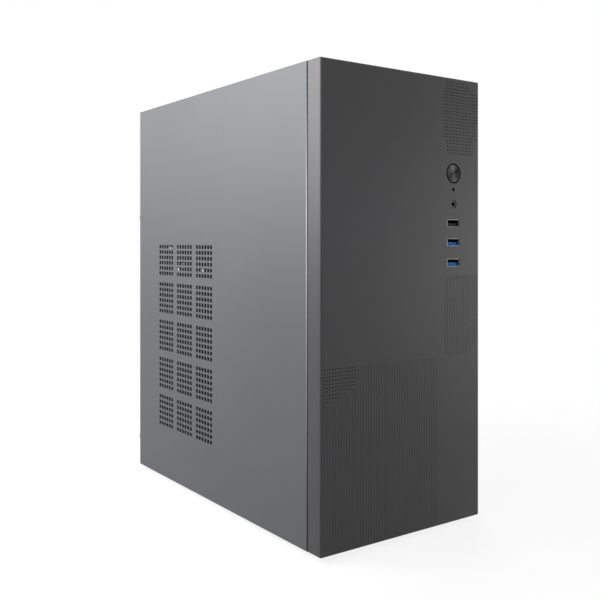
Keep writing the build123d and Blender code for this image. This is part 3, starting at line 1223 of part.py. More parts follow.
USB_STACK_SHARE = 0.5906
USB_STACK_UP = IO_RISE + USB_STACK_SHARE * IO_LENGTH
VIDEO_SHARES = (0.7606, 0.9055)
VIDEO_UPS = [IO_RISE + share * IO_LENGTH for share in VIDEO_SHARES]
VIDEO_WIDTH = 18.0
VIDEO_HEIGHT = 8.0
VIDEO_TONGUE_MARGIN = 3.0
LAN_SHARE = 0.3386
LAN_UP = IO_RISE + LAN_SHARE * IO_LENGTH
LAN_WIDTH = 17.0
LAN_HEIGHT = 13.5
LAN_POCKET_WIDTH = 11.8
LAN_POCKET_HEIGHT = 8.4
AUDIO_SHARE = 0.1244
AUDIO_UP = IO_RISE + AUDIO_SHARE * IO_LENGTH
AUDIO_WIDTH = 13.0
AUDIO_PITCH = 11.5
AUDIO_GAP = 0.5
AUDIO_COUNT = 3
AUDIO_DEPTH = 14.0


def usb_level(z, base):
    """One level of a rear USB stack: its pocket and the tongue left standing in it."""
    x = BOARD_FACE_X - base
    slab((x - STACK_USB_HEIGHT + PORT_LIP, x - PORT_LIP), POCKET_Y, around(z, STACK_WIDTH - 2 * PORT_LIP),
         Mode.SUBTRACT)
    slab((x - STACK_USB_HEIGHT / 2, x - STACK_USB_HEIGHT / 2 + STACK_TONGUE), TONGUE_Y,
         around(z, STACK_WIDTH - 2 * STACK_TONGUE_MARGIN))


with BuildPart() as usb_stack:
    z = BOARD_LOW_Z + USB_STACK_UP
    slab((BOARD_FACE_X - 2 * STACK_USB_HEIGHT, BOARD_FACE_X), PORT_Y, around(z, STACK_WIDTH))
    usb_level(z, 0)
    usb_level(z, STACK_USB_HEIGHT)
finish(usb_stack, "usb_stack")

with BuildPart() as video_ports:
    for up in VIDEO_UPS:
        z = BOARD_LOW_Z + up
        slab((BOARD_FACE_X - VIDEO_HEIGHT, BOARD_FACE_X), PORT_Y, around(z, VIDEO_WIDTH))
        slab((BOARD_FACE_X - VIDEO_HEIGHT + PORT_LIP, BOARD_FACE_X - PORT_LIP), POCKET_Y,
             around(z, VIDEO_WIDTH - 2 * PORT_LIP), Mode.SUBTRACT)
        slab(around(BOARD_FACE_X - VIDEO_HEIGHT / 2, STACK_TONGUE), TONGUE_Y,
             around(z, VIDEO_WIDTH - 2 * VIDEO_TONGUE_MARGIN))
finish(video_ports, "video_ports")

LAN_Z = BOARD_LOW_Z + LAN_UP
LAN_X = BOARD_FACE_X - 2 * STACK_USB_HEIGHT - LAN_HEIGHT / 2

with BuildPart() as lan_usb_stack:
    slab((BOARD_FACE_X - 2 * STACK_USB_HEIGHT - LAN_HEIGHT, BOARD_FACE_X), PORT_Y, around(LAN_Z, LAN_WIDTH))
    usb_level(LAN_Z, 0)
    usb_level(LAN_Z, STACK_USB_HEIGHT)
    slab(around(LAN_X, LAN_POCKET_HEIGHT), POCKET_Y, around(LAN_Z, LAN_POCKET_WIDTH), Mode.SUBTRACT)
finish(lan_usb_stack, "lan_usb_stack")

AUDIO_Z = BOARD_LOW_Z + AUDIO_UP
AUDIO_X = [BOARD_FACE_X - AUDIO_PITCH / 2 - index * AUDIO_PITCH for index in range(AUDIO_COUNT)]

with BuildPart() as audio_stack:
    for jack_x in AUDIO_X:
        slab(around(jack_x, AUDIO_PITCH - AUDIO_GAP), PORT_Y, around(AUDIO_Z, AUDIO_WIDTH))
        bar_y(jack_x, (REAR_FACE_Y - AUDIO_DEPTH, REAR_FACE_Y + OVERRUN), AUDIO_Z, JACK_BORE_RADIUS,
              Mode.SUBTRACT)
finish(audio_stack, "audio_stack")

# Shield around the rear sockets, held behind the opening of the rear panel
SHIELD = 0.5
SHIELD_BORDER = 2.0
SHIELD_FIT = 0.3

with BuildPart() as io_shield:
    slab((IO_X[0] - SHIELD_BORDER, IO_X[1] + SHIELD_BORDER), (REAR_INNER_Y - SHIELD, REAR_INNER_Y),
         (IO_Z[0] - SHIELD_BORDER, IO_Z[1] + SHIELD_BORDER))
    cut_y = (REAR_INNER_Y - SHIELD - OVERRUN, REAR_INNER_Y + OVERRUN)
    openings = [
        (USB_STACK_UP, STACK_WIDTH, 2 * STACK_USB_HEIGHT),
        (VIDEO_UPS[0], VIDEO_WIDTH, VIDEO_HEIGHT),
        (VIDEO_UPS[1], VIDEO_WIDTH, VIDEO_HEIGHT),
        (LAN_UP, LAN_WIDTH, 2 * STACK_USB_HEIGHT + LAN_HEIGHT),
        (AUDIO_UP, AUDIO_WIDTH, AUDIO_COUNT * AUDIO_PITCH),
    ]
    for up, width, height in openings:
        slab((BOARD_FACE_X - height - SHIELD_FIT, BOARD_FACE_X + SHIELD_FIT), cut_y,
             around(BOARD_LOW_Z + up, width + 2 * SHIELD_FIT), Mode.SUBTRACT)
finish(io_shield, "io_shield")

# Solid state drive on the shelf
DRIVE_LENGTH = 100.0
DRIVE_WIDTH = 69.85
DRIVE_HEIGHT = 7.0
DRIVE_LEFT_ROOM = 5.0
DRIVE_FRONT_ROOM = 28.0
DRIVE_CORNER = 2.0
DRIVE_X0 = SHELF_LEFT_X + DRIVE_LEFT_ROOM
DRIVE_Y0 = FRAME_BACK_Y + DRIVE_FRONT_ROOM

with BuildPart() as solid_state_drive:
    slab((DRIVE_X0, DRIVE_X0 + DRIVE_LENGTH), (DRIVE_Y0, DRIVE_Y0 + DRIVE_WIDTH),
         (PSU_LOW_Z, PSU_LOW_Z + DRIVE_HEIGHT))
    chamfer(solid_state_drive.edges().filter_by(Axis.Z), DRIVE_CORNER)
finish(solid_state_drive, "solid_state_drive")

# Screws: the power supply, the rear fan, the slot covers, the mainboard and the front board
SLOT_SCREW_BITE = 1.0

with BuildPart() as screws:
    for places, bite in ((PSU_SCREWS, SCREW_BITE), (FAN_SCREWS, SCREW_BITE),
                         ([(SLOT_SCREW_X, z) for z in SLOT_Z], SLOT_SCREW_BITE)):
        for screw_x, screw_z in places:
            bar_y(screw_x, (REAR_FACE_Y, REAR_FACE_Y + SCREW_HEAD), screw_z, SCREW_HEAD_RADIUS)
            bar_y(screw_x, (REAR_INNER_Y - SHEET - bite, REAR_FACE_Y), screw_z, SCREW_RADIUS)
    for hole_y, hole_z in BOARD_HOLES:
        bar_x((BOARD_FACE_X - SCREW_HEAD, BOARD_FACE_X), hole_y, hole_z, SCREW_HEAD_RADIUS)
        bar_x((BOARD_FACE_X, BOARD_BACK_X + SCREW_BITE), hole_y, hole_z, SCREW_RADIUS)
    for screw_x, screw_z in IO_SCREWS:
        bar_y(screw_x, (IO_BOARD_BACK_Y, IO_BOARD_BACK_Y + SCREW_HEAD), screw_z, SCREW_HEAD_RADIUS)
        bar_y(screw_x, (FRAME_Y, IO_BOARD_BACK_Y), screw_z, SCREW_RADIUS)
finish(screws, "screws")
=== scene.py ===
"""The looks of a small desktop tower computer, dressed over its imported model."""

import math
import random

import bmesh
import bpy
from mathutils import Matrix, Vector


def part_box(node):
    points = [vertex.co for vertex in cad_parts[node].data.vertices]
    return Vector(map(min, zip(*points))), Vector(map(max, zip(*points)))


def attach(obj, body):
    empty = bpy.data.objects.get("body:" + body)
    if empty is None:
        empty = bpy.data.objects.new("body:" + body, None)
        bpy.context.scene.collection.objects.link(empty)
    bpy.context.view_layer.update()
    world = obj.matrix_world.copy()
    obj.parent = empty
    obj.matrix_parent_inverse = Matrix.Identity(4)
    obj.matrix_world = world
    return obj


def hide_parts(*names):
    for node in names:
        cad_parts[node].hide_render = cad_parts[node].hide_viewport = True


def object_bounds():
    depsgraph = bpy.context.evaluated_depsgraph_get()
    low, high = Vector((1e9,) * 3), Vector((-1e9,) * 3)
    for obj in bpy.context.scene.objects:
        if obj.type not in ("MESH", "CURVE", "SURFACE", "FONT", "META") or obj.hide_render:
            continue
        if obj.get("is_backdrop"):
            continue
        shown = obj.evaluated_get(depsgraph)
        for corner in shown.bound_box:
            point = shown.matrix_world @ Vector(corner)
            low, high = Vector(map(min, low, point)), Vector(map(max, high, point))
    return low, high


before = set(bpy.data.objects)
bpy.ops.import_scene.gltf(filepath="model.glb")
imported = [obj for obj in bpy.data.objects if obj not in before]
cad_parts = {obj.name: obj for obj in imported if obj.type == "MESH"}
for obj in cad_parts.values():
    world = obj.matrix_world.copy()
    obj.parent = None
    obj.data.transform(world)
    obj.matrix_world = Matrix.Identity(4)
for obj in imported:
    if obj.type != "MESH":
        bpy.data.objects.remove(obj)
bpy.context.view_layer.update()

# Chassis: pressed steel sheets, sprayed with a thin black satin paint before they are riveted
# into one frame. The pan, the front frame, the rear panel, the board tray and the drive shelf
# all belong to it.
NOISE_LOW, NOISE_HIGH = 0.3, 0.7
GRAIN_DETAIL = 4.0
GRAIN_STRENGTH = 0.6


def shade(red, green, blue):
    """A colour given by screen values from 0 to 255, as a shader takes it."""

    def level(value):
        share = value / 255
        return share / 12.92 if share <= 0.04045 else ((share + 0.055) / 1.055) ** 2.4

    return (level(red), level(green), level(blue), 1.0)


def new_finish(name, **sockets):
    """An empty finish: its material, its nodes, a function that links them, and its shader."""
    made = bpy.data.materials.new(name)
    made.use_nodes = True
    nodes = made.node_tree.nodes
    shader = nodes["Principled BSDF"]
    for socket, value in sockets.items():
        shader.inputs[socket.replace("_", " ")].default_value = value
    return made, nodes, made.node_tree.links.new, shader


def own_place(nodes):
    """Where a point lies on its piece, in metres of the shared frame."""
    return nodes.new("ShaderNodeTexCoord").outputs["Object"]


def noise(nodes, link, size, detail=2.0, stretch=(1, 1, 1)):
    """A noise of a given grain size in metres, drawn out along the axes that stretch enlarges."""
    scaled = nodes.new("ShaderNodeMapping")
    scaled.inputs["Scale"].default_value = [1 / share for share in stretch]
    made = nodes.new("ShaderNodeTexNoise")
    made.inputs["Scale"].default_value = 1 / size
    made.inputs["Detail"].default_value = detail
    link(own_place(nodes), scaled.inputs["Vector"])
    link(scaled.outputs["Vector"], made.inputs["Vector"])
    return made.outputs["Fac"]


def ramp(nodes, link, source, low, high, start=NOISE_LOW, end=NOISE_HIGH):
    """A colour that goes from one to the other as the source rises from start to end."""
    made = nodes.new("ShaderNodeValToRGB")
    made.color_ramp.elements[0].position = start
    made.color_ramp.elements[0].color = low
    made.color_ramp.elements[1].position = end
    made.color_ramp.elements[1].color = high
    link(source, made.inputs["Fac"])
    return made.outputs["Color"]


def spread(nodes, link, source, low, high, start=NOISE_LOW, end=NOISE_HIGH):
    """A value that goes from one to the other as the source rises from start to end."""
    made = nodes.new("ShaderNodeMapRange")
    made.inputs["From Min"].default_value = start
    made.inputs["From Max"].default_value = end
    made.inputs["To Min"].default_value = low
    made.inputs["To Max"].default_value = high
    link(source, made.inputs["Value"])
    return made.outputs["Result"]


def raise_by(nodes, link, shader, source, height, strength=1.0):
    """Let the source lift the surface by up to a height in metres."""
    made = nodes.new("ShaderNodeBump")
    made.inputs["Strength"].default_value = strength
    made.inputs["Distance"].default_value = height
    link(source, made.inputs["Height"])
    link(made.outputs["Normal"], shader.inputs["Normal"])


def grained(name, low, high, patch, rough, grain, lift, stretch=(1, 1, 1), **sockets):
    """A finish whose tone drifts in patches, and whose gloss is broken up by a fine grain."""
    made, nodes, link, shader = new_finish(name, **sockets)
    drift = noise(nodes, link, patch)
    fine = noise(nodes, link, grain, GRAIN_DETAIL, stretch)
    link(ramp(nodes, link, drift, low, high), shader.inputs["Base Color"])
    link(spread(nodes, link, fine, *rough), shader.inputs["Roughness"])
    raise_by(nodes, link, shader, fine, lift, GRAIN_STRENGTH)
    return made


def dress(finish, *names):
    """Give CAD pieces a finish in place of the plain one that they came with."""
    for name in names:
        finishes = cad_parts[name].data.materials
        finishes.clear()
        finishes.append(finish)


chassis_paint = grained("chassis_paint", shade(50, 50, 52), shade(58, 58, 60),
                        patch=0.08, rough=(0.42, 0.56), grain=0.0009, lift=0.00003)
dress(chassis_paint, "bottom_pan", "front_frame", "rear_panel", "board_tray", "drive_shelf")

# Feet: four round pads moulded in black rubber with a dull pebbled skin. They sit under the pan
# near its corners.
foot_rubber = grained("foot_rubber", shade(30, 30, 31), shade(40, 40, 41),
                      patch=0.01, rough=(0.7, 0.9), grain=0.0006, lift=0.00008)
dress(foot_rubber, "rubber_feet")

# Standoffs and screws: hexagon standoffs of turned brass carry the mainboard. The screws are
# zinc-plated steel with low heads, and each head has a pressed cross for the driver.
brass = grained("turned_brass", shade(176, 140, 72), shade(205, 170, 96),
                patch=0.004, rough=(0.25, 0.38), grain=0.0004, lift=0.00001, Metallic=1.0)
dress(brass, "standoffs")

MERGE_DISTANCE = 1e-6
SHARP_ANGLE = math.radians(35)


def merged_copy(node):
    """A bmesh copy of a CAD piece with its loose triangles joined."""
    shape = bmesh.new()
    shape.from_mesh(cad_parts[node].data)
    bmesh.ops.remove_doubles(shape, verts=shape.verts, dist=MERGE_DISTANCE)
    return shape


def solids_of(shape):
    """The places of the corners of each separate solid in a bmesh."""
    left, found = set(shape.verts), []
    while left:
        solid, edge = set(), [left.pop()]
        while edge:
            corner = edge.pop()
            solid.add(corner)
            near = {other.other_vert(corner) for other in corner.link_edges} & left
            left -= near
            edge.extend(near)
        found.append([corner.co.copy() for corner in solid])
    return found


def block(shape, low, high):
    """Add a box between two corners to a bmesh and give all its corners."""
    low, high = Vector(low), Vector(high)
    place = Matrix.Translation((low + high) / 2) @ Matrix.Diagonal((*(high - low), 1))
    return bmesh.ops.create_cube(shape, size=1.0, matrix=place)["verts"]


def new_mesh(name, shape, *finishes):
    """A smooth mesh with sharp edges and its finishes, from a bmesh that is used up."""
    mesh = bpy.data.meshes.new(name)
    shape.to_mesh(mesh)
    shape.free()
    for old in [layer for layer in mesh.attributes if layer.name == "custom_normal"]:
        mesh.attributes.remove(old)
    mesh.materials.clear()
    for finish in finishes:
        mesh.materials.append(finish)
    mesh.shade_smooth()
    mesh.set_sharp_from_angle(angle=SHARP_ANGLE)
    return mesh


def new_piece(name, mesh, body):
    """A named piece that rides on a body."""
    made = bpy.data.objects.new(name, mesh)
    bpy.context.scene.collection.objects.link(made)
    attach(made, body)
    return made


def cut_out(piece, cutters, own_overlaps=False):
    """Cut a bmesh of cutters, which is used up, out of a piece."""
    tool = bpy.data.objects.new("cutters", new_mesh("cutters", cutters))
    bpy.context.scene.collection.objects.link(tool)
    cut = piece.modifiers.new("cut", "BOOLEAN")
    cut.operation = "DIFFERENCE"
    cut.solver = "EXACT"
    cut.use_self = own_overlaps
    cut.object = tool
    bpy.context.view_layer.update()
    ready = piece.evaluated_get(bpy.context.evaluated_depsgraph_get())
    whole = piece.data
    piece.data = bpy.data.meshes.new_from_object(ready)
    piece.modifiers.clear()
    bpy.data.meshes.remove(whole)
    bpy.data.meshes.remove(tool.data)
    piece.data.name = piece.name
    piece.data.shade_smooth()
    piece.data.set_sharp_from_angle(angle=SHARP_ANGLE)


zinc = grained("zinc_plate", shade(176, 178, 182), shade(198, 200, 204),
               patch=0.003, rough=(0.24, 0.36), grain=0.0003, lift=0.000005, Metallic=1.0)
CROSS_LENGTH = 0.0036
CROSS_WIDTH = 0.0009
CROSS_DEPTH = 0.0013
HEAD_EDGE = 0.0005
HEAD_EDGE_ANGLE = math.radians(60)
ROUND_WITHIN = 0.0002
END_WITHIN = 1e-5

screw_shape = merged_copy("screws")
crosses = bmesh.new()
for corners in solids_of(screw_shape):
    low = Vector([min(corner[axis] for corner in corners) for axis in range(3)])
    high = Vector([max(corner[axis] for corner in corners) for axis in range(3)])
    size, middle = high - low, (low + high) / 2
    along = 0 if abs(size.y - size.z) < ROUND_WITHIN else 1
    wide = [max((corner - middle).length for corner in corners
                if abs(corner[along] - end[along]) < END_WITHIN) for end in (low, high)]
    head = middle.copy()
    head[along] = low[along] if wide[0] > wide[1] else high[along]
    for bar in (2, 1 - along):
        half = Vector((CROSS_WIDTH, CROSS_WIDTH, CROSS_WIDTH)) / 2
        half[along] = CROSS_DEPTH
        half[bar] = CROSS_LENGTH / 2
        block(crosses, head - half, head + half)
screw_heads = new_piece("cross_head_screws", new_mesh("cross_head_screws", screw_shape, zinc),
                        "chassis")
cut_out(screw_heads, crosses, own_overlaps=True)
soften = screw_heads.modifiers.new("rounded heads", "BEVEL")
soften.width = HEAD_EDGE
soften.segments = 2
soften.limit_method = "ANGLE"
soften.angle_limit = HEAD_EDGE_ANGLE
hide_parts("screws")

# Mainboard: a glass-fibre laminate under dark solder mask, with copper tracks that show through
# it as faint raised lines. Small surface parts are soldered all over the free ground between
# the sockets.
CELL_SCALE = 48
TRACK_SCALE = 260
TRACK_EDGE = (0.55, 0.75)
TRACK_HEIGHT = 0.00006
MASK_PATCH = 0.012
MASK_DRIFT = (0.35, 0.8)
MASK_ROUGH = (0.3, 0.42)


def feed(link, socket, value):
    """Give a socket a fixed value, or link another node's output to it."""
    if isinstance(value, bpy.types.NodeSocket):
        link(value, socket)
    else:
        socket.default_value = value


def worked_out(nodes, link, operation, *terms):
    """What an operation gives for its terms, each of them fixed or another node's output."""
    made = nodes.new("ShaderNodeMath")
    made.operation = operation
    for socket, term in zip(made.inputs, terms):
        feed(link, socket, term)
    return made.outputs["Value"]


def blended(nodes, link, share, low, high, blend="MIX"):
    """A colour blended from two by a share, each of them fixed or another node's output."""
    made = nodes.new("ShaderNodeMix")
    made.data_type = "RGBA"
    made.blend_type = blend
    for socket, value in ((0, share), (6, low), (7, high)):
        feed(link, made.inputs[socket], value)
    return made.outputs[2]


def laminate(name, mask, track, solder):
    """Solder mask over tracks that run up or along the board, cell by cell."""
    made, nodes, link, shader = new_finish(name, Specular_IOR_Level=0.5)
    place = own_place(nodes)
    cells = nodes.new("ShaderNodeTexVoronoi")
    cells.distance = "CHEBYCHEV"
    cells.inputs["Scale"].default_value = CELL_SCALE
    link(place, cells.inputs["Vector"])
    split = nodes.new("ShaderNodeSeparateColor")
    link(cells.outputs["Color"], split.inputs["Color"])
    tracks = nodes.new("ShaderNodeMix")
    turned = worked_out(nodes, link, "GREATER_THAN", split.outputs["Red"], 0.5)
    link(turned, tracks.inputs["Factor"])
    for direction, socket in (("Y", "A"), ("Z", "B")):
        lines = nodes.new("ShaderNodeTexWave")
        lines.bands_direction = direction
        lines.inputs["Scale"].default_value = TRACK_SCALE
        link(place, lines.inputs["Vector"])
        link(lines.outputs["Fac"], tracks.inputs[socket])
    on_track = spread(nodes, link, tracks.outputs["Result"], 0.0, 1.0, *TRACK_EDGE)
    ground = noise(nodes, link, MASK_PATCH)
    bare = ramp(nodes, link, ground, mask, solder, *MASK_DRIFT)
    link(blended(nodes, link, on_track, bare, track), shader.inputs["Base Color"])
    link(spread(nodes, link, ground, *MASK_ROUGH), shader.inputs["Roughness"])
    raise_by(nodes, link, shader, on_track, TRACK_HEIGHT)
    return made


board_mask = laminate("board_mask", shade(16, 34, 30), shade(30, 62, 52), shade(20, 42, 36))
dress(board_mask, "mainboard", "front_io_board", "psu_board")

# A small part's size is its length, width and height. A chip is given by its place from front
# to rear, its height above the ground and the length of its sides.
PART_SIZES = ((0.0016, 0.0008, 0.0006), (0.0020, 0.0012, 0.0008), (0.0032, 0.0016, 0.0010))
PART_COUNT = 260
PART_SEED = 7
PART_MARGIN = 0.0015
BOARD_MARGIN = 0.004
CAP_SHARE = 0.25
CAP_WIDER = 1.02
CAP_TALLER = 1.03
CHIP_PLACES = ((0.020, 0.128, 0.010), (-0.036, 0.076, 0.012), (0.052, 0.112, 0.007),
               (-0.042, 0.150, 0.009), (0.086, 0.050, 0.014), (-0.042, 0.200, 0.006))
CHIP_HEIGHT = 0.0012
CHIP_EDGE = 0.00015
LEG_WIDTH = 0.0003
LEG_HEIGHT = 2 * LEG_WIDTH
LEG_PITCH = 0.0008
LEG_REACH = 0.0009
LEG_ROW_SHARE = 0.8
TIN_FINISH = 2

chip_resin = grained("chip_resin", shade(30, 30, 32), shade(38, 38, 40),
                     patch=0.004, rough=(0.5, 0.65), grain=0.0004, lift=0.00002)
part_tan = grained("part_tan", shade(120, 98, 70), shade(138, 114, 84),
                   patch=0.001, rough=(0.4, 0.5), grain=0.0003, lift=0.00001)
tin = grained("tin", shade(182, 184, 186), shade(206, 208, 210),
              patch=0.001, rough=(0.3, 0.45), grain=0.0002, lift=0.00001, Metallic=1.0)

board_low, board_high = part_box("mainboard")
board_face = board_low.x
standing = [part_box(name) for name in (
    "cpu_socket", "cpu_heatsink", "memory_slots", "expansion_slots", "chipset_heatsink",
    "power_chokes", "capacitors", "coin_cell", "power_sockets", "board_headers", "usb_stack",
    "video_ports", "lan_usb_stack", "audio_stack")]
standing += [(Vector((0, y - size, z - size)), Vector((0, y + size, z + size)))
             for y, z, size in CHIP_PLACES]


def free(y, z, reach):
    """Whether nothing else stands on the board round a place."""
    return not any(low.y - reach < y < high.y + reach and low.z - reach < z < high.z + reach
                   for low, high in standing)


def finished_block(shape, low, high, finish):
    """Add a box whose faces take one of the piece's finishes, given by its number."""
    for corner in block(shape, low, high):
        for side in corner.link_faces:
            side.material_index = finish


draw = random.Random(PART_SEED)
parts = bmesh.new()
placed = 0
while placed < PART_COUNT:
    long, wide, tall = draw.choice(PART_SIZES)
    y = draw.uniform(board_low.y + BOARD_MARGIN, board_high.y - BOARD_MARGIN)
    z = draw.uniform(board_low.z + BOARD_MARGIN, board_high.z - BOARD_MARGIN)
    upright = draw.random() < 0.5
    if not free(y, z, long / 2 + PART_MARGIN):
        continue
    lengthways, sideways = (2, 1) if upright else (1, 2)
    half = Vector((0, 0, 0))
    half[lengthways] = long / 2
    half[sideways] = wide / 2
    middle = Vector((board_face, y, z))
    finished_block(parts, middle - half - Vector((tall, 0, 0)), middle + half, placed % 2)
    cap = half * CAP_SHARE
    cap[sideways] = half[sideways] * CAP_WIDER
    for end in (-1, 1):
        tip = middle.copy()
        tip[lengthways] += end * long / 2
        finished_block(parts, tip - cap - Vector((tall * CAP_TALLER, 0, 0)), tip + cap, TIN_FINISH)
    placed += 1
for y, z, size in CHIP_PLACES:
    half = Vector((0, size / 2, size / 2))
    middle = Vector((board_face, y, z))
    body = block(parts, middle - half - Vector((CHIP_HEIGHT, 0, 0)),
                 middle + half - Vector((LEG_WIDTH, 0, 0)))
    bmesh.ops.bevel(parts, geom=list({edge for corner in body for edge in corner.link_edges}),
                    offset=CHIP_EDGE, segments=1, profile=0.5, affect="EDGES", material=-1)
    legs = int(size * LEG_ROW_SHARE / LEG_PITCH)
    for leg in range(legs):
        shift = (leg - (legs - 1) / 2) * LEG_PITCH
        for out in (-(size + LEG_REACH) / 2, (size + LEG_REACH) / 2):
            for foot, reach in (((0, shift, out), (0, LEG_WIDTH / 2, LEG_REACH / 2)),
                                ((0, out, shift), (0, LEG_REACH / 2, LEG_WIDTH / 2))):
                foot, reach = middle + Vector(foot), Vector(reach)
                finished_block(parts, foot - reach - Vector((LEG_HEIGHT, 0, 0)), foot + reach,
                               TIN_FINISH)
new_piece("board_parts", new_mesh("board_parts", parts, chip_resin, part_tan, tin), "chassis")

# Processor and its cooler: a chip with a plated lid in a moulded socket, under a block of
# aluminium fins that is held by four posts, with a fan screwed to the fins.
socket_resin = grained("socket_resin", shade(176, 172, 160), shade(192, 188, 176),
                       patch=0.01, rough=(0.5, 0.6), grain=0.0006, lift=0.00002)
lid_plate = grained("lid_plate", shade(184, 184, 182), shade(200, 200, 198),
                    patch=0.006, rough=(0.3, 0.42), grain=0.0003, lift=0.00001,
                    stretch=(1, 1, 12), Metallic=1.0)
fin_metal = grained("fin_metal", shade(188, 190, 194), shade(208, 210, 214),
                    patch=0.02, rough=(0.28, 0.42), grain=0.0004, lift=0.00001,
                    stretch=(1, 1, 20), Metallic=1.0)
dress(socket_resin, "cpu_socket")
dress(lid_plate, "processor")
dress(fin_metal, "cpu_heatsink", "chipset_heatsink")

# Memory: two modules of dark laminate with rows of chips, pressed into moulded slots with
# latches at the ends. Gold contacts run along the foot of each.
slot_resin = grained("slot_resin", shade(34, 34, 36), shade(42, 42, 44),
                     patch=0.02, rough=(0.4, 0.52), grain=0.0006, lift=0.00002)
module_mask = laminate("module_mask", shade(14, 30, 24), shade(34, 70, 52), shade(18, 38, 30))
dress(slot_resin, "memory_slots")
dress(module_mask, "memory_module_1", "memory_module_2")

MODULE_CONTACT_WIDTH = 0.0006
MODULE_CONTACT_PITCH = 0.001
MODULE_CONTACT_HEIGHT = 0.0028
MODULE_CONTACT_PROUD = 0.00068
MODULE_ENDS = 0.006
SLOT_MOUTH = 0.0080
gold = grained("gold_plate", shade(206, 168, 88), shade(224, 188, 108),
               patch=0.002, rough=(0.22, 0.34), grain=0.0003, lift=0.000005, Metallic=1.0)
edge_contacts = bmesh.new()
for name in ("memory_module_1", "memory_module_2"):
    low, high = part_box(name)
    middle = (low + high) / 2
    count = int((high.z - low.z - MODULE_ENDS) / MODULE_CONTACT_PITCH)
    for index in range(count):
        z = middle.z + (index - (count - 1) / 2) * MODULE_CONTACT_PITCH
        reach = Vector((0, MODULE_CONTACT_PROUD, MODULE_CONTACT_WIDTH / 2))
        mouth = Vector((board_face - SLOT_MOUTH, middle.y, z))
        block(edge_contacts, mouth - reach - Vector((MODULE_CONTACT_HEIGHT, 0, 0)), mouth + reach)
new_piece("module_contacts", new_mesh("module_contacts", edge_contacts, gold), "chassis")

# Board fittings: card sockets, ferrite coils, aluminium capacitor cans, the clock cell, and the
# power and signal sockets, all soldered through the mainboard.
ferrite = grained("ferrite", shade(88, 88, 90), shade(104, 104, 106),
                  patch=0.004, rough=(0.55, 0.7), grain=0.0004, lift=0.00004)
can_metal = grained("can_metal", shade(176, 178, 182), shade(200, 202, 206),
                    patch=0.003, rough=(0.28, 0.4), grain=0.0003, lift=0.00001, Metallic=1.0)
cell_steel = grained("cell_steel", shade(170, 171, 173), shade(192, 193, 195),
                     patch=0.006, rough=(0.26, 0.38), grain=0.0004, lift=0.00001,
                     stretch=(1, 12, 1), Metallic=1.0)
dress(slot_resin, "expansion_slots", "power_sockets", "board_headers")
dress(ferrite, "power_chokes")
dress(can_metal, "capacitors")
dress(cell_steel, "coin_cell")

# Rear sockets: folded shells of nickel-plated steel on the edge of the mainboard, three audio
# jacks moulded in the usual coloured plastics, a thin pressed shield round them all, and four
# covers over the card slots.
nickel = grained("nickel_plate", shade(142, 143, 146), shade(164, 165, 168),
                 patch=0.006, rough=(0.22, 0.34), grain=0.0003, lift=0.000006,
                 stretch=(1, 14, 1), Metallic=1.0)
shield_steel = grained("shield_steel", shade(150, 152, 156), shade(166, 168, 172),
                       patch=0.004, rough=(0.34, 0.46), grain=0.0005, lift=0.00001, Metallic=1.0)
dress(nickel, "usb_stack", "video_ports", "lan_usb_stack")
dress(shield_steel, "io_shield", "slot_covers")


def banded(nodes, link, source, ends, stops, blend="LINEAR"):
    """A colour that passes through stops between its two ends as the source rises to 1."""
    made = nodes.new("ShaderNodeValToRGB")
    made.color_ramp.interpolation = blend
    for element, colour in zip(made.color_ramp.elements, ends):
        element.color = colour
    for place, colour in stops:
        made.color_ramp.elements.new(place).color = colour
    link(source, made.inputs["Fac"])
    return made.outputs["Color"]


JACK_PINK = shade(150, 80, 106)
JACK_GREEN = shade(88, 130, 62)
JACK_BLUE = shade(62, 100, 142)
JACK_ROUGH = (0.38, 0.5)
JACK_GRAIN = 0.0004
JACK_LIFT = 0.00002
audio_low, audio_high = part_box("audio_stack")
jack_colours, nodes, link, shader = new_finish("jack_colours")
split = nodes.new("ShaderNodeSeparateXYZ")
link(own_place(nodes), split.inputs["Vector"])
across = spread(nodes, link, split.outputs["X"], 0.0, 1.0, audio_low.x, audio_high.x)
code = banded(nodes, link, across, (JACK_PINK, JACK_BLUE),
              ((1 / 3, JACK_GREEN), (2 / 3, JACK_BLUE)), "CONSTANT")
link(code, shader.inputs["Base Color"])
jack_grain = noise(nodes, link, JACK_GRAIN, GRAIN_DETAIL)
link(spread(nodes, link, jack_grain, *JACK_ROUGH), shader.inputs["Roughness"])
raise_by(nodes, link, shader, jack_grain, JACK_LIFT)
dress(jack_colours, "audio_stack")

# Fans: housings and rotors moulded in black plastic that is filled with glass fibre, so that
# the skin has a faint streaky sheen.
fan_resin = grained("fan_resin", shade(28, 28, 30), shade(36, 36, 38),
                    patch=0.02, rough=(0.34, 0.48), grain=0.0007, lift=0.00002,
                    stretch=(4, 1, 1))
dress(fan_resin, "rear_fan_frame", "cpu_fan_frame", "psu_fan_frame")
dress(fan_resin, "rear_fan_rotor", "cpu_fan_rotor", "psu_fan_rotor")

# Power supply: a steel tray and lid under rough black powder paint, with a moulded mains inlet,
# a rocker switch in its own well, and a bushing in front for the wires.
powder_paint = grained("powder_paint", shade(34, 34, 36), shade(42, 42, 44),
                       patch=0.03, rough=(0.55, 0.75), grain=0.0007, lift=0.00012)
moulded_black = grained("moulded_black", shade(28, 28, 29), shade(34, 34, 35),
                        patch=0.01, rough=(0.38, 0.5), grain=0.0005, lift=0.00002)
dress(powder_paint, "psu_shell", "psu_lid")
dress(moulded_black, "psu_gland", "psu_inlet", "psu_switch_frame", "psu_rocker")

# Solid state drive: a thin case pressed from aluminium sheet and anodised dark grey, which lies
# on the drive shelf in front of the power supply.
drive_skin = grained("drive_skin", shade(84, 85, 88), shade(96, 97, 100),
                     patch=0.02, rough=(0.34, 0.46), grain=0.0004, lift=0.00001,
                     stretch=(14, 1, 1), Metallic=1.0)
dress(drive_skin, "solid_state_drive")

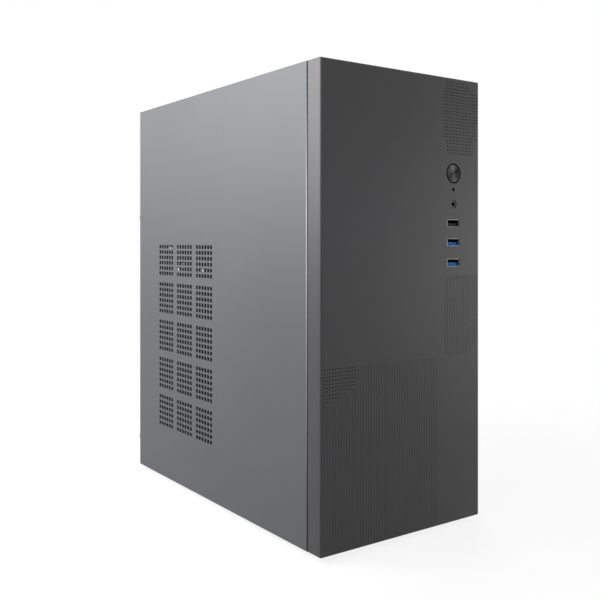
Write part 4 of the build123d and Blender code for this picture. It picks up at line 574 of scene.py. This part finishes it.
# Front controls: a small board behind the bezel carries the power switch, an audio jack and
# three USB sockets. Each socket is a folded plated shell round a moulded tongue with gold
# contact strips.
blue_resin = grained("blue_resin", shade(16, 124, 204), shade(22, 134, 218),
                     patch=0.004, rough=(0.4, 0.5), grain=0.0004, lift=0.00001,
                     Specular_IOR_Level=0.15)
tongue_black = grained("tongue_black", shade(24, 24, 25), shade(30, 30, 31),
                       patch=0.004, rough=(0.4, 0.5), grain=0.0004, lift=0.00001,
                       Specular_IOR_Level=0.1)
dull_nickel = grained("dull_nickel", shade(112, 113, 116), shade(128, 129, 132),
                      patch=0.006, rough=(0.3, 0.42), grain=0.0003, lift=0.000006,
                      stretch=(1, 14, 1), Metallic=1.0)
dress(moulded_black, "power_switch")
dress(tongue_black, "usb_black_insert")
dress(dull_nickel, "front_usb_shells")
dress(blue_resin, "usb_blue_inserts")


def cool_greys(tones):
    """Stops of a colour ramp, each a grey with a touch of blue at its place."""
    return [(place, shade(tone, tone, tone + 2)) for place, tone in tones]


# The front jack has a dark bore and a plated ring round it. The dark rim at its edge is painted
# shade for the gap between the jack and the bezel.
FRONT_JACK_RIM = 0.0032
FRONT_JACK_BLACK_AND_GAP_SHADE = shade(14, 14, 15)
FRONT_JACK_RINGS_AND_GAP_SHADE = ((0.57, 14), (0.60, 124), (0.80, 124), (0.88, 18))
FRONT_JACK_GRAIN = 0.0003
FRONT_JACK_LIFT = 0.00001
front_jack_low, front_jack_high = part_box("front_audio_jack")
front_jack_middle = (front_jack_low + front_jack_high) / 2
jack_face, nodes, link, shader = new_finish("jack_face", Roughness=0.4, Specular_IOR_Level=0.2)
from_axis = nodes.new("ShaderNodeMapping")
from_axis.inputs["Scale"].default_value = (1, 0, 1)
from_axis.inputs["Location"].default_value = (-front_jack_middle.x, 0, -front_jack_middle.z)
link(own_place(nodes), from_axis.inputs["Vector"])
radius = nodes.new("ShaderNodeVectorMath")
radius.operation = "LENGTH"
link(from_axis.outputs["Vector"], radius.inputs[0])
outward = spread(nodes, link, radius.outputs["Value"], 0.0, 1.0, 0.0, FRONT_JACK_RIM)
# Past the plated ring the colour darkens to painted shade for the gap round the jack.
jack_rings_and_gap_shade = banded(nodes, link, outward, (FRONT_JACK_BLACK_AND_GAP_SHADE, FRONT_JACK_BLACK_AND_GAP_SHADE),
                    cool_greys(FRONT_JACK_RINGS_AND_GAP_SHADE))
link(jack_rings_and_gap_shade, shader.inputs["Base Color"])
front_jack_grain = noise(nodes, link, FRONT_JACK_GRAIN, GRAIN_DETAIL)
raise_by(nodes, link, shader, front_jack_grain, FRONT_JACK_LIFT)
dress(jack_face, "front_audio_jack")

CONTACT_COUNT = 4
CONTACT_PITCH = 0.0024
CONTACT_WIDTH = 0.0010
CONTACT_LENGTH = 0.0065
CONTACT_BACK = 0.0022
CONTACT_PROUD = 0.00006
INSERT_HEIGHT = 0.0052
TONGUE_TOP = 0.0025
strips = bmesh.new()
for name, levels in (("usb_black_insert", 1), ("usb_blue_inserts", 2)):
    low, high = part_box(name)
    pitch = (high.z - low.z - INSERT_HEIGHT) / max(levels - 1, 1)
    begin = low.y + CONTACT_BACK
    for level in range(levels):
        top = low.z + TONGUE_TOP + level * pitch
        for index in range(CONTACT_COUNT):
            x = (low.x + high.x) / 2 + (index - (CONTACT_COUNT - 1) / 2) * CONTACT_PITCH
            block(strips, (x - CONTACT_WIDTH / 2, begin, top - CONTACT_PROUD),
                  (x + CONTACT_WIDTH / 2, begin + CONTACT_LENGTH, top + CONTACT_PROUD))
new_piece("usb_contacts", new_mesh("usb_contacts", strips, gold), "chassis")

# Front bezel: one moulding in dark grey plastic with a fine spark-eroded skin. Upright grooves
# and small dimples are moulded into its face on one grid, and the controls look out through
# holes near its right edge.
bezel_plastic = grained("bezel_plastic", shade(53, 53, 55), shade(58, 57, 60),
                        patch=0.12, rough=(0.4, 0.5), grain=0.0006, lift=0.00002,
                        Specular_IOR_Level=0.4)
GRID_PITCH = 0.00253
GRID_RIGHT = 0.0773
GRID_WITHIN = 1e-6
GROOVE_WIDTH = 0.0007
GROOVE_FLOOR_SHARE = 0.4
GROOVE_DEPTH = 0.00013
DOT_RADIUS = 0.00055
DOT_FLOOR_RADIUS = 0.00045
DOT_DEPTH = 0.0007
DOT_SIDES = 8

bezel_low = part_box("front_bezel")[0]
front = bezel_low.y


def groove(shape, x, low, high):
    """Add the cutter of one upright groove, narrower at its floor than at the face."""
    corners = block(shape, (x - GROOVE_WIDTH / 2, front - GROOVE_DEPTH, low),
                    (x + GROOVE_WIDTH / 2, front + GROOVE_DEPTH, high))
    floor = [corner for corner in corners if corner.co.y > front]
    bmesh.ops.scale(shape, vec=(GROOVE_FLOOR_SHARE, 1, 1), verts=floor,
                    space=Matrix.Translation((-x, 0, 0)))


def dot(shape, x, z):
    """Add the cutter of one dimple, narrower at its floor than at the face."""
    place = Matrix.Translation((x, front, z)) @ Matrix.Rotation(-math.pi / 2, 4, "X")
    bmesh.ops.create_cone(shape, cap_ends=True, segments=DOT_SIDES,
                          radius1=2 * DOT_RADIUS - DOT_FLOOR_RADIUS, radius2=DOT_FLOOR_RADIUS,
                          depth=2 * DOT_DEPTH, matrix=place)


def columns(left, right):
    """The grid's upright lines between two bounds."""
    first = math.ceil((GRID_RIGHT - right) / GRID_PITCH - GRID_WITHIN)
    last = math.floor((GRID_RIGHT - left) / GRID_PITCH + GRID_WITHIN)
    return [GRID_RIGHT - index * GRID_PITCH for index in range(first, last + 1)]


def span(x, left, right, low, high, cuts):
    """Where a field begins and ends at an upright line. The cuts slant off its corners, each by
    a width and a height: the low left, the low right, the high left and the high right one."""
    lost = [tall * max(0.0, 1 - (x - left if side % 2 == 0 else right - x) / wide)
            for side, (wide, tall) in enumerate(cuts)]
    return low + max(lost[0], lost[1]), high - max(lost[2], lost[3])


# Each field on the face is bounded on its left, its right, below and above.
UNCUT = (1.0, 0.0)
pattern = bmesh.new()

DOT_FIELD = (0.0390, 0.0775, 0.2946, 0.3504)
DOT_FIELD_CUTS = ((0.0058, 0.024), (0.005, 0.026), (0.004, 0.012), (0.014, 0.007))
for x in columns(*DOT_FIELD[:2]):
    low, high = span(x, *DOT_FIELD, DOT_FIELD_CUTS)
    for row in range(int((DOT_FIELD[3] - DOT_FIELD[2]) / GRID_PITCH) + 1):
        z = DOT_FIELD[2] + row * GRID_PITCH
        if low <= z <= high:
            dot(pattern, x, z)

SIDE_FIELD = (0.0415, 0.0775, 0.1360, 0.1985)
SIDE_FIELD_CUTS = (UNCUT, (0.010, 0.009), (0.008, 0.004), UNCUT)
for x in columns(*SIDE_FIELD[:2]):
    groove(pattern, x, *span(x, *SIDE_FIELD, SIDE_FIELD_CUTS))

FOOT_MARGIN_LEFT = 0.0018
FOOT_MARGIN_LOW = 0.0020
FOOT_FIELD = (bezel_low.x + FOOT_MARGIN_LEFT, 0.0335, bezel_low.z + FOOT_MARGIN_LOW, 0.1350)
WEDGE = (FOOT_FIELD[0], -0.0475, 0.1090, FOOT_FIELD[3])
WEDGE_CUTS = (UNCUT, (0.030, 0.013), UNCUT, UNCUT)
for x in columns(*FOOT_FIELD[:2]):
    top = FOOT_FIELD[3]
    if x < WEDGE[1]:
        low, high = span(x, *WEDGE, WEDGE_CUTS)
        rows = int((high - low) / GRID_PITCH) + 1
        for row in range(rows):
            dot(pattern, x, high - row * GRID_PITCH)
        top = high - rows * GRID_PITCH
    groove(pattern, x, FOOT_FIELD[2], top)

bezel = new_piece("grooved_bezel",
                  new_mesh("grooved_bezel", merged_copy("front_bezel"), bezel_plastic),
                  "front_bezel")
cut_out(bezel, pattern)
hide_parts("front_bezel")

# Power light and button: the light is a smoked plastic pipe, and the button is an aluminium
# cap, anodised dark and turned on a lathe. The turning marks run round it, and its sheen is
# painted into its colour as two bright sectors round its centre, a painted highlight.
lens_smoke = grained("lens_smoke", shade(4, 4, 5), shade(8, 8, 9),
                     patch=0.002, rough=(0.3, 0.4), grain=0.0004, lift=0.000005,
                     Specular_IOR_Level=0.03)
dress(lens_smoke, "led_lens")

MARK_SCALE = 700
MARK_WOBBLE = 1.5
MARK_DETAIL = 3
MARK_SHARE = 0.35
MARK_HEIGHT = 0.00002
BUTTON_ROUGH = (0.28, 0.4)
PAINTED_SHEEN_END = shade(36, 36, 38)
PAINTED_SHEEN_TONES = ((0.1, 26), (0.3, 78), (0.42, 52), (0.58, 22), (0.78, 82), (0.9, 50))
button_low, button_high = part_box("power_button")
button_middle = (button_low + button_high) / 2
button_metal, nodes, link, shader = new_finish("button_metal", Metallic=1.0, Anisotropic=0.8)
centred = nodes.new("ShaderNodeMapping")
centred.vector_type = "TEXTURE"
centred.inputs["Location"].default_value = (button_middle.x, 0, button_middle.z)
centred.inputs["Rotation"].default_value = (math.pi / 2, 0, 0)
link(own_place(nodes), centred.inputs["Vector"])
marks = nodes.new("ShaderNodeTexWave")
marks.wave_type = "RINGS"
marks.rings_direction = "Z"
marks.inputs["Scale"].default_value = MARK_SCALE
marks.inputs["Distortion"].default_value = MARK_WOBBLE
marks.inputs["Detail"].default_value = MARK_DETAIL
link(centred.outputs["Vector"], marks.inputs["Vector"])
# Painted highlight: the colour brightens in two sectors by the angle round the button's centre.
turn = nodes.new("ShaderNodeTexGradient")
turn.gradient_type = "RADIAL"
link(centred.outputs["Vector"], turn.inputs["Vector"])
sheen = banded(nodes, link, turn.outputs["Fac"], (PAINTED_SHEEN_END, PAINTED_SHEEN_END), cool_greys(PAINTED_SHEEN_TONES),
               "EASE")
marked = blended(nodes, link, MARK_SHARE, sheen, marks.outputs["Color"], "MULTIPLY")
link(marked, shader.inputs["Base Color"])
link(spread(nodes, link, marks.outputs["Fac"], *BUTTON_ROUGH), shader.inputs["Roughness"])
raise_by(nodes, link, shader, marks.outputs["Fac"], MARK_HEIGHT)
around = nodes.new("ShaderNodeTangent")
around.direction_type = "RADIAL"
around.axis = "Y"
link(around.outputs["Tangent"], shader.inputs["Tangent"])
dress(button_metal, "power_button")

# Panels and top: the outer skin of the case, steel sheet folded at its edges and finished in
# grey satin powder paint. The left panel is punched with blocks of square vents, and a painted
# highlight runs along the middle of the fold at its front edge, laid on as a band of bright metal.
case_paint = grained("case_paint", shade(77, 78, 81), shade(82, 83, 86),
                     patch=0.15, rough=(0.44, 0.54), grain=0.0007, lift=0.00003,
                     Specular_IOR_Level=0.35)
dress(case_paint, "right_side_panel", "top_cover")

# The painted highlight is a band of bright metal that follows the panel's front corner. Its
# width is measured along the side, and a step across the front counts FOLD_LEAN times as much.
# It fades out towards the foot and the top.
FOLD_WIDTH = 0.00085
FOLD_LEAN = 2.0
FOLD_HIGHLIGHT_TONE = shade(150, 151, 154)
FOLD_HIGHLIGHT_FADE = ((0.08, 0.0), (0.55, 1.0), (0.68, 1.0), (0.95, 0.0))
NO_HIGHLIGHT = (0, 0, 0, 1)
panel_low, panel_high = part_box("left_side_panel")
fold_end = FOLD_LEAN * panel_low.x + panel_low.y + FOLD_WIDTH
paint_with_fold_highlight = case_paint.copy()
paint_with_fold_highlight.name = "paint_with_fold_highlight"
nodes, link = paint_with_fold_highlight.node_tree.nodes, paint_with_fold_highlight.node_tree.links.new
shader = nodes["Principled BSDF"]
split = nodes.new("ShaderNodeSeparateXYZ")
link(own_place(nodes), split.inputs["Vector"])
leaning = worked_out(nodes, link, "MULTIPLY_ADD", split.outputs["X"], FOLD_LEAN, split.outputs["Y"])
on_fold = worked_out(nodes, link, "LESS_THAN", leaning, fold_end)
rise = spread(nodes, link, split.outputs["Z"], 0.0, 1.0, panel_low.z, panel_high.z)
highlight_fade = banded(nodes, link, rise, (NO_HIGHLIGHT, NO_HIGHLIGHT),
              [(height, (share, share, share, 1)) for height, share in FOLD_HIGHLIGHT_FADE])
# The painted highlight swaps the paint's colour for bright metal along the middle of the fold.
painted_highlight = worked_out(nodes, link, "MULTIPLY", on_fold, highlight_fade)
paint = shader.inputs["Base Color"].links[0].from_socket
link(blended(nodes, link, painted_highlight, paint, FOLD_HIGHLIGHT_TONE), shader.inputs["Base Color"])
link(painted_highlight, shader.inputs["Metallic"])
dress(paint_with_fold_highlight, "left_side_panel")

# Thumbscrews: knurled heads turned from steel and blacked. Two on each side panel hold its rear
# edge to the chassis.
black_steel = grained("black_steel", shade(74, 74, 77), shade(92, 92, 95),
                      patch=0.003, rough=(0.3, 0.42), grain=0.0003, lift=0.00001, Metallic=1.0)
dress(black_steel, "thumbscrew_left_upper", "thumbscrew_left_lower", "thumbscrew_right_upper",
      "thumbscrew_right_lower")

# Studio: a pale floor under a white surround. Two soft lamps stand high on the left, one of them
# towards the rear, a third behind on the right, and two at the front, one of them on the right
# and one near the left edge.
CAMERA_PLACE = (-0.41845, -0.6055, 0.2245)
CAMERA_HEADING = math.radians(-35.4)
CAMERA_LENS = 48.68
CAMERA_SENSOR = 36.0
CAMERA_SHIFT = -0.0962
AMBIENT = 0.2
FLOOR_SIZE = 4.0
FLOOR_SIDES = 64
FLOOR_GLOW = 0.86
FLOOR_NEAR = 0.35
FLOOR_FAR = 1.1
PAPER_IN_LIGHT = shade(110, 110, 110)
PAPER_IN_SIGHT = shade(245, 245, 245)

camera_data = bpy.data.cameras.new("camera")
camera_data.lens = CAMERA_LENS
camera_data.sensor_width = CAMERA_SENSOR
camera_data.shift_y = CAMERA_SHIFT
camera = bpy.data.objects.new("camera", camera_data)
camera.location = CAMERA_PLACE
camera.rotation_euler = (math.pi / 2, 0, CAMERA_HEADING)
bpy.context.scene.collection.objects.link(camera)
bpy.context.scene.camera = camera


def lamp(name, place, aim, size, power):
    """A square soft lamp at a place, facing another, which the camera doesn't see."""
    data = bpy.data.lights.new(name, "AREA")
    data.size = size
    data.energy = power
    made = bpy.data.objects.new(name, data)
    made.location = place
    made.rotation_mode = "QUATERNION"
    made.rotation_quaternion = (Vector(aim) - Vector(place)).to_track_quat("-Z", "Y")
    made.visible_camera = False
    bpy.context.scene.collection.objects.link(made)


lamp("key_lamp", (-0.64, 0.62, 0.60), aim=(-0.08, -0.05, 0.28), size=0.6, power=3.2)
lamp("side_lamp", (-0.45, 0.14, 0.45), aim=(-0.08, 0.08, 0.22), size=0.4, power=3.7)
lamp("back_lamp", (0.95, 0.95, 0.80), aim=(0, 0, 0.18), size=0.9, power=18)
lamp("front_lamp", (0.98, -0.54, 0.10), aim=(0.05, -0.15, 0.12), size=0.6, power=4.4)
lamp("edge_lamp", (-0.36, -0.22, 0.44), aim=(-0.08, -0.16, 0.24), size=0.3, power=1.2)


def seen_directly(nodes, link):
    """1 for what the camera, a mirror or glass sees, and 0 for light that falls on things."""
    path = nodes.new("ShaderNodeLightPath")
    total = path.outputs["Is Camera Ray"]
    for ray in ("Is Glossy Ray", "Is Transmission Ray"):
        total = worked_out(nodes, link, "MAXIMUM", total, path.outputs[ray])
    return total


world = bpy.data.worlds.new("white_surround")
bpy.context.scene.world = world
world.use_nodes = True
nodes, link = world.node_tree.nodes, world.node_tree.links.new
brightness = spread(nodes, link, seen_directly(nodes, link), AMBIENT, 1.0, 0.0, 1.0)
nodes["Background"].inputs["Color"].default_value = (1, 1, 1, 1)
link(brightness, nodes["Background"].inputs["Strength"])

floor_shape = bmesh.new()
bmesh.ops.create_circle(floor_shape, cap_ends=True, segments=FLOOR_SIDES, radius=FLOOR_SIZE)
floor_paper, nodes, link, shader = new_finish("floor_paper", Roughness=0.9, Specular_IOR_Level=0.1)
direct = seen_directly(nodes, link)
paper_tone = ramp(nodes, link, direct, PAPER_IN_LIGHT, PAPER_IN_SIGHT, 0.0, 1.0)
link(paper_tone, shader.inputs["Base Color"])
away = nodes.new("ShaderNodeVectorMath")
away.operation = "LENGTH"
link(own_place(nodes), away.inputs[0])
outwards = spread(nodes, link, away.outputs["Value"], FLOOR_GLOW, 1.0, FLOOR_NEAR, FLOOR_FAR)
glow = nodes.new("ShaderNodeEmission")
mixed = nodes.new("ShaderNodeMixShader")
link(worked_out(nodes, link, "MULTIPLY", direct, outwards), mixed.inputs["Fac"])
link(shader.outputs["BSDF"], mixed.inputs[1])
link(glow.outputs["Emission"], mixed.inputs[2])
link(mixed.outputs["Shader"], nodes["Material Output"].inputs["Surface"])
floor = bpy.data.objects.new("floor", new_mesh("floor", floor_shape, floor_paper))
bpy.context.scene.collection.objects.link(floor)
floor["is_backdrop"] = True

bpy.context.scene.view_settings.view_transform = "Standard"

low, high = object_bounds()
